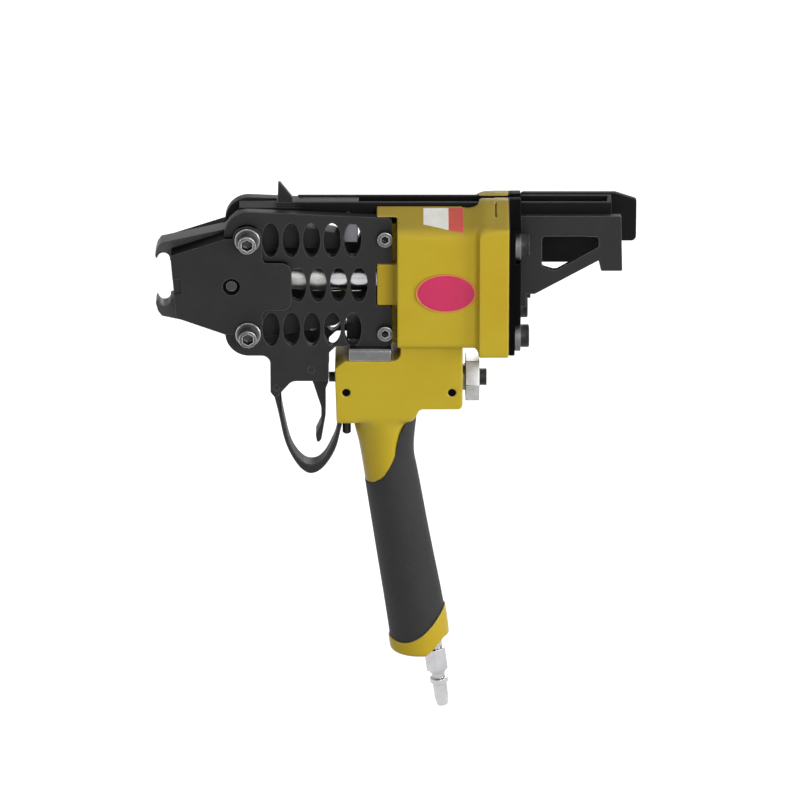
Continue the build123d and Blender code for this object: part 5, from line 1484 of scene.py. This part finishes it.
@dataclass
class TriggerGuard:
    """Guard round the trigger, thick at the bottom, from its eye at the front to its foot under the block."""

    workshop: Workshop
    half: float = 6.0
    edge: float = 0.5
    steps: int = 6
    eye: tuple[float, float] = (65.5, -65.0)
    eye_r: float = 3.0
    eye_arc: tuple[int, int, int] = (-15, 196, 15)
    outer: Line = (
        (62.9, -68.2), (63.7, -73.6), (66.2, -84.5), (69.8, -102.0), (74.3, -112.9), (79.4, -120.4),
        (84.9, -123.6), (90.7, -121.5), (96.1, -115.1), (100.4, -106.4), (103.3, -94.4), (104.6, -89.8),
        (106.0, -89.1), (109.2, -89.1),
    )
    inner: Line = (
        (109.2, -86.9), (103.2, -86.9), (101.8, -88.0), (100.3, -98.1), (97.7, -105.0), (93.6, -112.9),
        (88.6, -117.4), (82.6, -117.3), (77.4, -112.6), (73.2, -104.7), (70.1, -91.6), (67.9, -78.4),
        (67.6, -70.0),
    )

    def build(self) -> None:
        """Cut the guard out and put it in place of the CAD guard."""
        x, z = self.eye
        arc = [math.radians(a) for a in range(*self.eye_arc)]
        outline = [(x + self.eye_r * math.cos(a), z + self.eye_r * math.sin(a)) for a in arc]
        outline += self._smooth(self.outer) + self._smooth(self.inner)
        drawn_in = self._shrink(outline)
        shoulder = self.half - self.edge
        shell = bmesh.new()
        sides = ((drawn_in, -self.half), (outline, -shoulder), (outline, shoulder), (drawn_in, self.half))
        loops = [[shell.verts.new(Vector((px, y, pz)) * MM) for px, pz in line] for line, y in sides]
        bridge(shell, loops)
        caps = [shell.faces.new(loops[0]), shell.faces.new(loops[-1])]
        bmesh.ops.triangulate(shell, faces=caps, ngon_method="EAR_CLIP")
        bmesh.ops.recalc_face_normals(shell, faces=shell.faces)
        name = "trigger_guard_cut"
        self.workshop.piece(name, to_mesh(shell, name, CREASE), Slot.DARK_STEEL, BLACK_OXIDE, "trigger_guard")

    def _smooth(self, points: Line) -> list[tuple[float, float]]:
        """Smooth line through points.

        Args:
            points: The points.

        Returns:
            Points along the line.
        """
        line = []
        spots = [Vector(p) for p in (points[0], *points, points[-1])]
        for a, b, c, d in zip(spots, spots[1:], spots[2:], spots[3:]):
            for i in range(self.steps):
                t = i / self.steps
                bend = 2 * a - 5 * b + 4 * c - d
                twist = 3 * b - a - 3 * c + d
                line.append(tuple(0.5 * (2 * b + (c - a) * t + bend * t**2 + twist * t**3)))
        return [*line, points[-1]]

    def _shrink(self, outline: list[tuple[float, float]]) -> list[tuple[float, float]]:
        """Draw an anticlockwise outline in by the width of the guard's edge.

        Args:
            outline: Its points.

        Returns:
            The moved points.
        """
        moved = []
        for i, (x, z) in enumerate(outline):
            along = (Vector(outline[(i + 1) % len(outline)]) - Vector(outline[i - 1])).normalized()
            moved.append((x - along.y * self.edge, z + along.x * self.edge))
        return moved


@dataclass
class JawSet:
    """The two jaws, their rollers and springs, and the wedge and piston that drive them."""

    workshop: Workshop
    coils: WoundWire
    jaw_edge: float = 0.24
    arm_start: float = 52.0
    upper_spring: Coil = Coil(
        radius=7.2, wire=0.55, turns=2.0, start=(49.0, 6.9, 29.4), end=(49.0, 8.9, 29.4)
    )
    lower_spring: Coil = Coil(
        radius=7.2, wire=0.55, turns=2.0, start=(49.0, 6.9, -29.4), end=(49.0, 8.9, -29.4)
    )
    return_spring: Coil = Coil(
        radius=16.0, wire=1.9, turns=6.0, start=(149.0, 0.0, 0.0), end=(181.6, 0.0, 0.0)
    )

    def build(self) -> None:
        """Dress the jaws and drive, and wind the springs."""
        for node in ("upper_jaw", "lower_jaw"):
            jaw = self.workshop.soften(node, Slot.DARK_STEEL, JAW_BLACK_PAINTED_LIGHT, self.jaw_edge)
            # Jaw tips take the lighter jaw black as painted light, and the arms between the plates take the
            # darker black oxide as painted shade.
            jaw.data.materials.append(self.workshop.material(BLACK_OXIDE))
            for face in jaw.data.polygons:
                face.material_index = int(face.center.x > self.arm_start * MM)
        dress = self.workshop.dress_nodes
        dress(ZINC, "upper_jaw_roller", "lower_jaw_roller", "upper_roller_pin", "lower_roller_pin")
        dress(ZINC, "drive_wedge", "wedge_pin", "piston_nut", "pivot_spacers")
        dress(CHROME, "piston_rod")
        # Nose pins take the lighter jaw black: painted light on the pins against their shaded recesses.
        dress(JAW_BLACK_PAINTED_LIGHT, "nose_pins")
        dress(TURNED_ALLOY, "piston")
        dress(SEAL_RUBBER, "piston_seal", "rod_seal", "front_bumper")
        dress(BRONZE, "rod_bush")
        self.coils.wind("jaw_springs", self.upper_spring, self.lower_spring)
        obj = self.coils.wind("return_spring", self.return_spring)
        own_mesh(obj)


@dataclass
class Fasteners:
    """Bolts, screws, washers, nuts and pins."""

    workshop: Workshop
    sets: SetOut
    pivot: tuple[float, float] = (49.0, 29.4)
    nose_out: float = 19.0
    pivot_bolt: SocketScrew = SocketScrew(
        head_r=5.4, head_h=8.0, shank_r=4.0, shank_l=50.5, socket=6.0, depth=5.0, edge=0.8, knurls=36
    )
    pivot_washer: Washer = Washer(rim=7.4, thickness=2.0)
    plate_spot: tuple[float, float] = (129.5, 29.5)
    plate_out: float = 15.5
    plate_screw: SocketScrew = SocketScrew(
        head_r=4.6, head_h=4.0, shank_r=2.5, shank_l=13.0, socket=4.0, depth=2.8, edge=0.6
    )
    cap_seat: float = 205.4
    cap_y: float = 24.0
    cap_z: float = 28.5
    cap_bolt: SocketScrew = SocketScrew(
        head_r=6.7, head_h=5.1, shank_r=4.0, shank_l=18.7, socket=6.0, depth=3.5, edge=0.7, knurls=36
    )
    cap_washer: Washer = Washer(rim=9.0, thickness=3.4)
    nut_edge: float = 0.4
    guard_screw_edge: float = 0.24
    magazine_screw_edge: float = 0.3

    def build(self) -> None:
        """Set out or dress each kind of fastener."""
        place = self.sets.place
        soften = self.workshop.soften
        dress = self.workshop.dress_nodes
        bright, dark = Slot.BRIGHT_STEEL, Slot.DARK_STEEL
        seats = self._pair(self.pivot, self.nose_out + self.pivot_washer.thickness, Axis.NEAR)
        place("pivot_bolts", self.pivot_bolt.mesh(), seats, BOLT_STEEL, bright)
        seats = self._pair(self.pivot, self.nose_out, Axis.NEAR)
        seats += self._pair(self.pivot, self.nose_out, Axis.FAR)
        place("pivot_washers", self.pivot_washer.mesh(), seats, BOLT_STEEL, bright)
        soften("pivot_nuts", bright, BOLT_STEEL, self.nut_edge)
        seats = self._pair(self.plate_spot, self.plate_out, Axis.NEAR)
        seats += self._pair(self.plate_spot, self.plate_out, Axis.FAR)
        place("plate_screws", self.plate_screw.mesh(), seats, BOLT_STEEL, bright)
        place("cap_bolts", self.cap_bolt.mesh(), self._round_cap(self.cap_washer.thickness), BLACK_BOLT, dark)
        place("cap_washers", self.cap_washer.mesh(), self._round_cap(0.0), WASHER_GREY, bright)
        soften("guard_screw", dark, BLACK_BOLT, self.guard_screw_edge)
        soften("magazine_screws", dark, BLACK_BOLT, self.magazine_screw_edge)
        dress(BLACK_BOLT, "trigger_pin", "guard_pin")
        dress(OIL_BLACK_AND_SHADE, "valve_set_screws")
        dress(ZINC, "feed_pin")

    @staticmethod
    def _pair(spot: tuple[float, float], out: float, axis: Axis) -> Places:
        """Seats above and below the cylinder's axis on one side of the tool.

        Args:
            spot: Place along the tool, and height above or below the axis.
            out: Distance from the tool's middle plane.
            axis: Side that they face.

        Returns:
            Both seats.
        """
        x, z = spot
        return [((x, axis.value[1] * out, side * z), axis) for side in (1, -1)]

    def _round_cap(self, lift: float) -> Places:
        """Seats at the rear cap's four corners, lifted off its face."""
        x = self.cap_seat + lift
        return [((x, y, z), Axis.REAR) for y in (-self.cap_y, self.cap_y) for z in (-self.cap_z, self.cap_z)]


@dataclass
class AirValve:
    """Trigger valve: spool, sleeve, spring and the bright plug at its rear."""

    workshop: Workshop
    coils: WoundWire
    plug_edge: float = 0.5
    axis_z: float = -64.0
    spring: Coil = Coil(radius=6.2, wire=0.7, turns=5.0, start=(150.1, 0.0, axis_z), end=(160.9, 0.0, axis_z))

    def build(self) -> None:
        """Dress the valve and wind its spring."""
        self.workshop.soften("valve_plug", Slot.CHROME, ZINC, self.plug_edge)
        self.workshop.dress_nodes(BLACK_BOLT, "valve_spool")
        self.workshop.dress_nodes(TURNED_ALLOY, "valve_sleeve")
        self.workshop.dress_nodes(SEAL_RUBBER, "valve_seals")
        obj = self.coils.wind("valve_spring", self.spring)
        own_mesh(obj)


@dataclass
class Handle:
    """Rubber grip and the air plug below it."""

    workshop: Workshop
    rubber_swell: float = 0.3
    plug_edge: float = 0.3

    def build(self) -> None:
        """Make the grip and dress the air's way in."""
        self._grip()
        self.workshop.soften("air_plug", Slot.CHROME, CHROME, self.plug_edge)
        self.workshop.dress_nodes(BRONZE, "inlet_filter")

    def _grip(self) -> None:
        """Rubber that stands a little proud of the casting round it."""
        shell = merged_shell("grip")
        shell.normal_update()
        for corner in shell.verts:
            corner.co += corner.normal * self.rubber_swell * MM
        name = "grip_moulded"
        self.workshop.piece(name, to_mesh(shell, name, CREASE), Slot.RUBBER, GRIP_RUBBER, "grip")


@dataclass
class RingFeed:
    """Pusher and the rolled band that pulls it."""

    workshop: Workshop
    pusher_edge: float = 0.2

    def build(self) -> None:
        """Round and dress the feed's pieces."""
        self.workshop.soften("pusher", Slot.DARK_STEEL, BLACK_OXIDE, self.pusher_edge)
        self.workshop.dress_nodes(SPRING_WIRE, "feed_spring")


def main() -> None:
    """Build the studio and each sub-assembly in order."""
    logging.basicConfig(level=logging.INFO, format="%(name)s: %(message)s")
    workshop = Workshop()
    sets = SetOut(workshop)
    coils = WoundWire(workshop)
    Studio().build()
    Casting(workshop).build()
    SheetMetal(workshop).build()
    TriggerGuard(workshop).build()
    JawSet(workshop, coils).build()
    Fasteners(workshop, sets).build()
    AirValve(workshop, coils).build()
    Handle(workshop).build()
    RingFeed(workshop).build()
    bpy.context.view_layer.update()


if __name__ == "__main__":
    main()
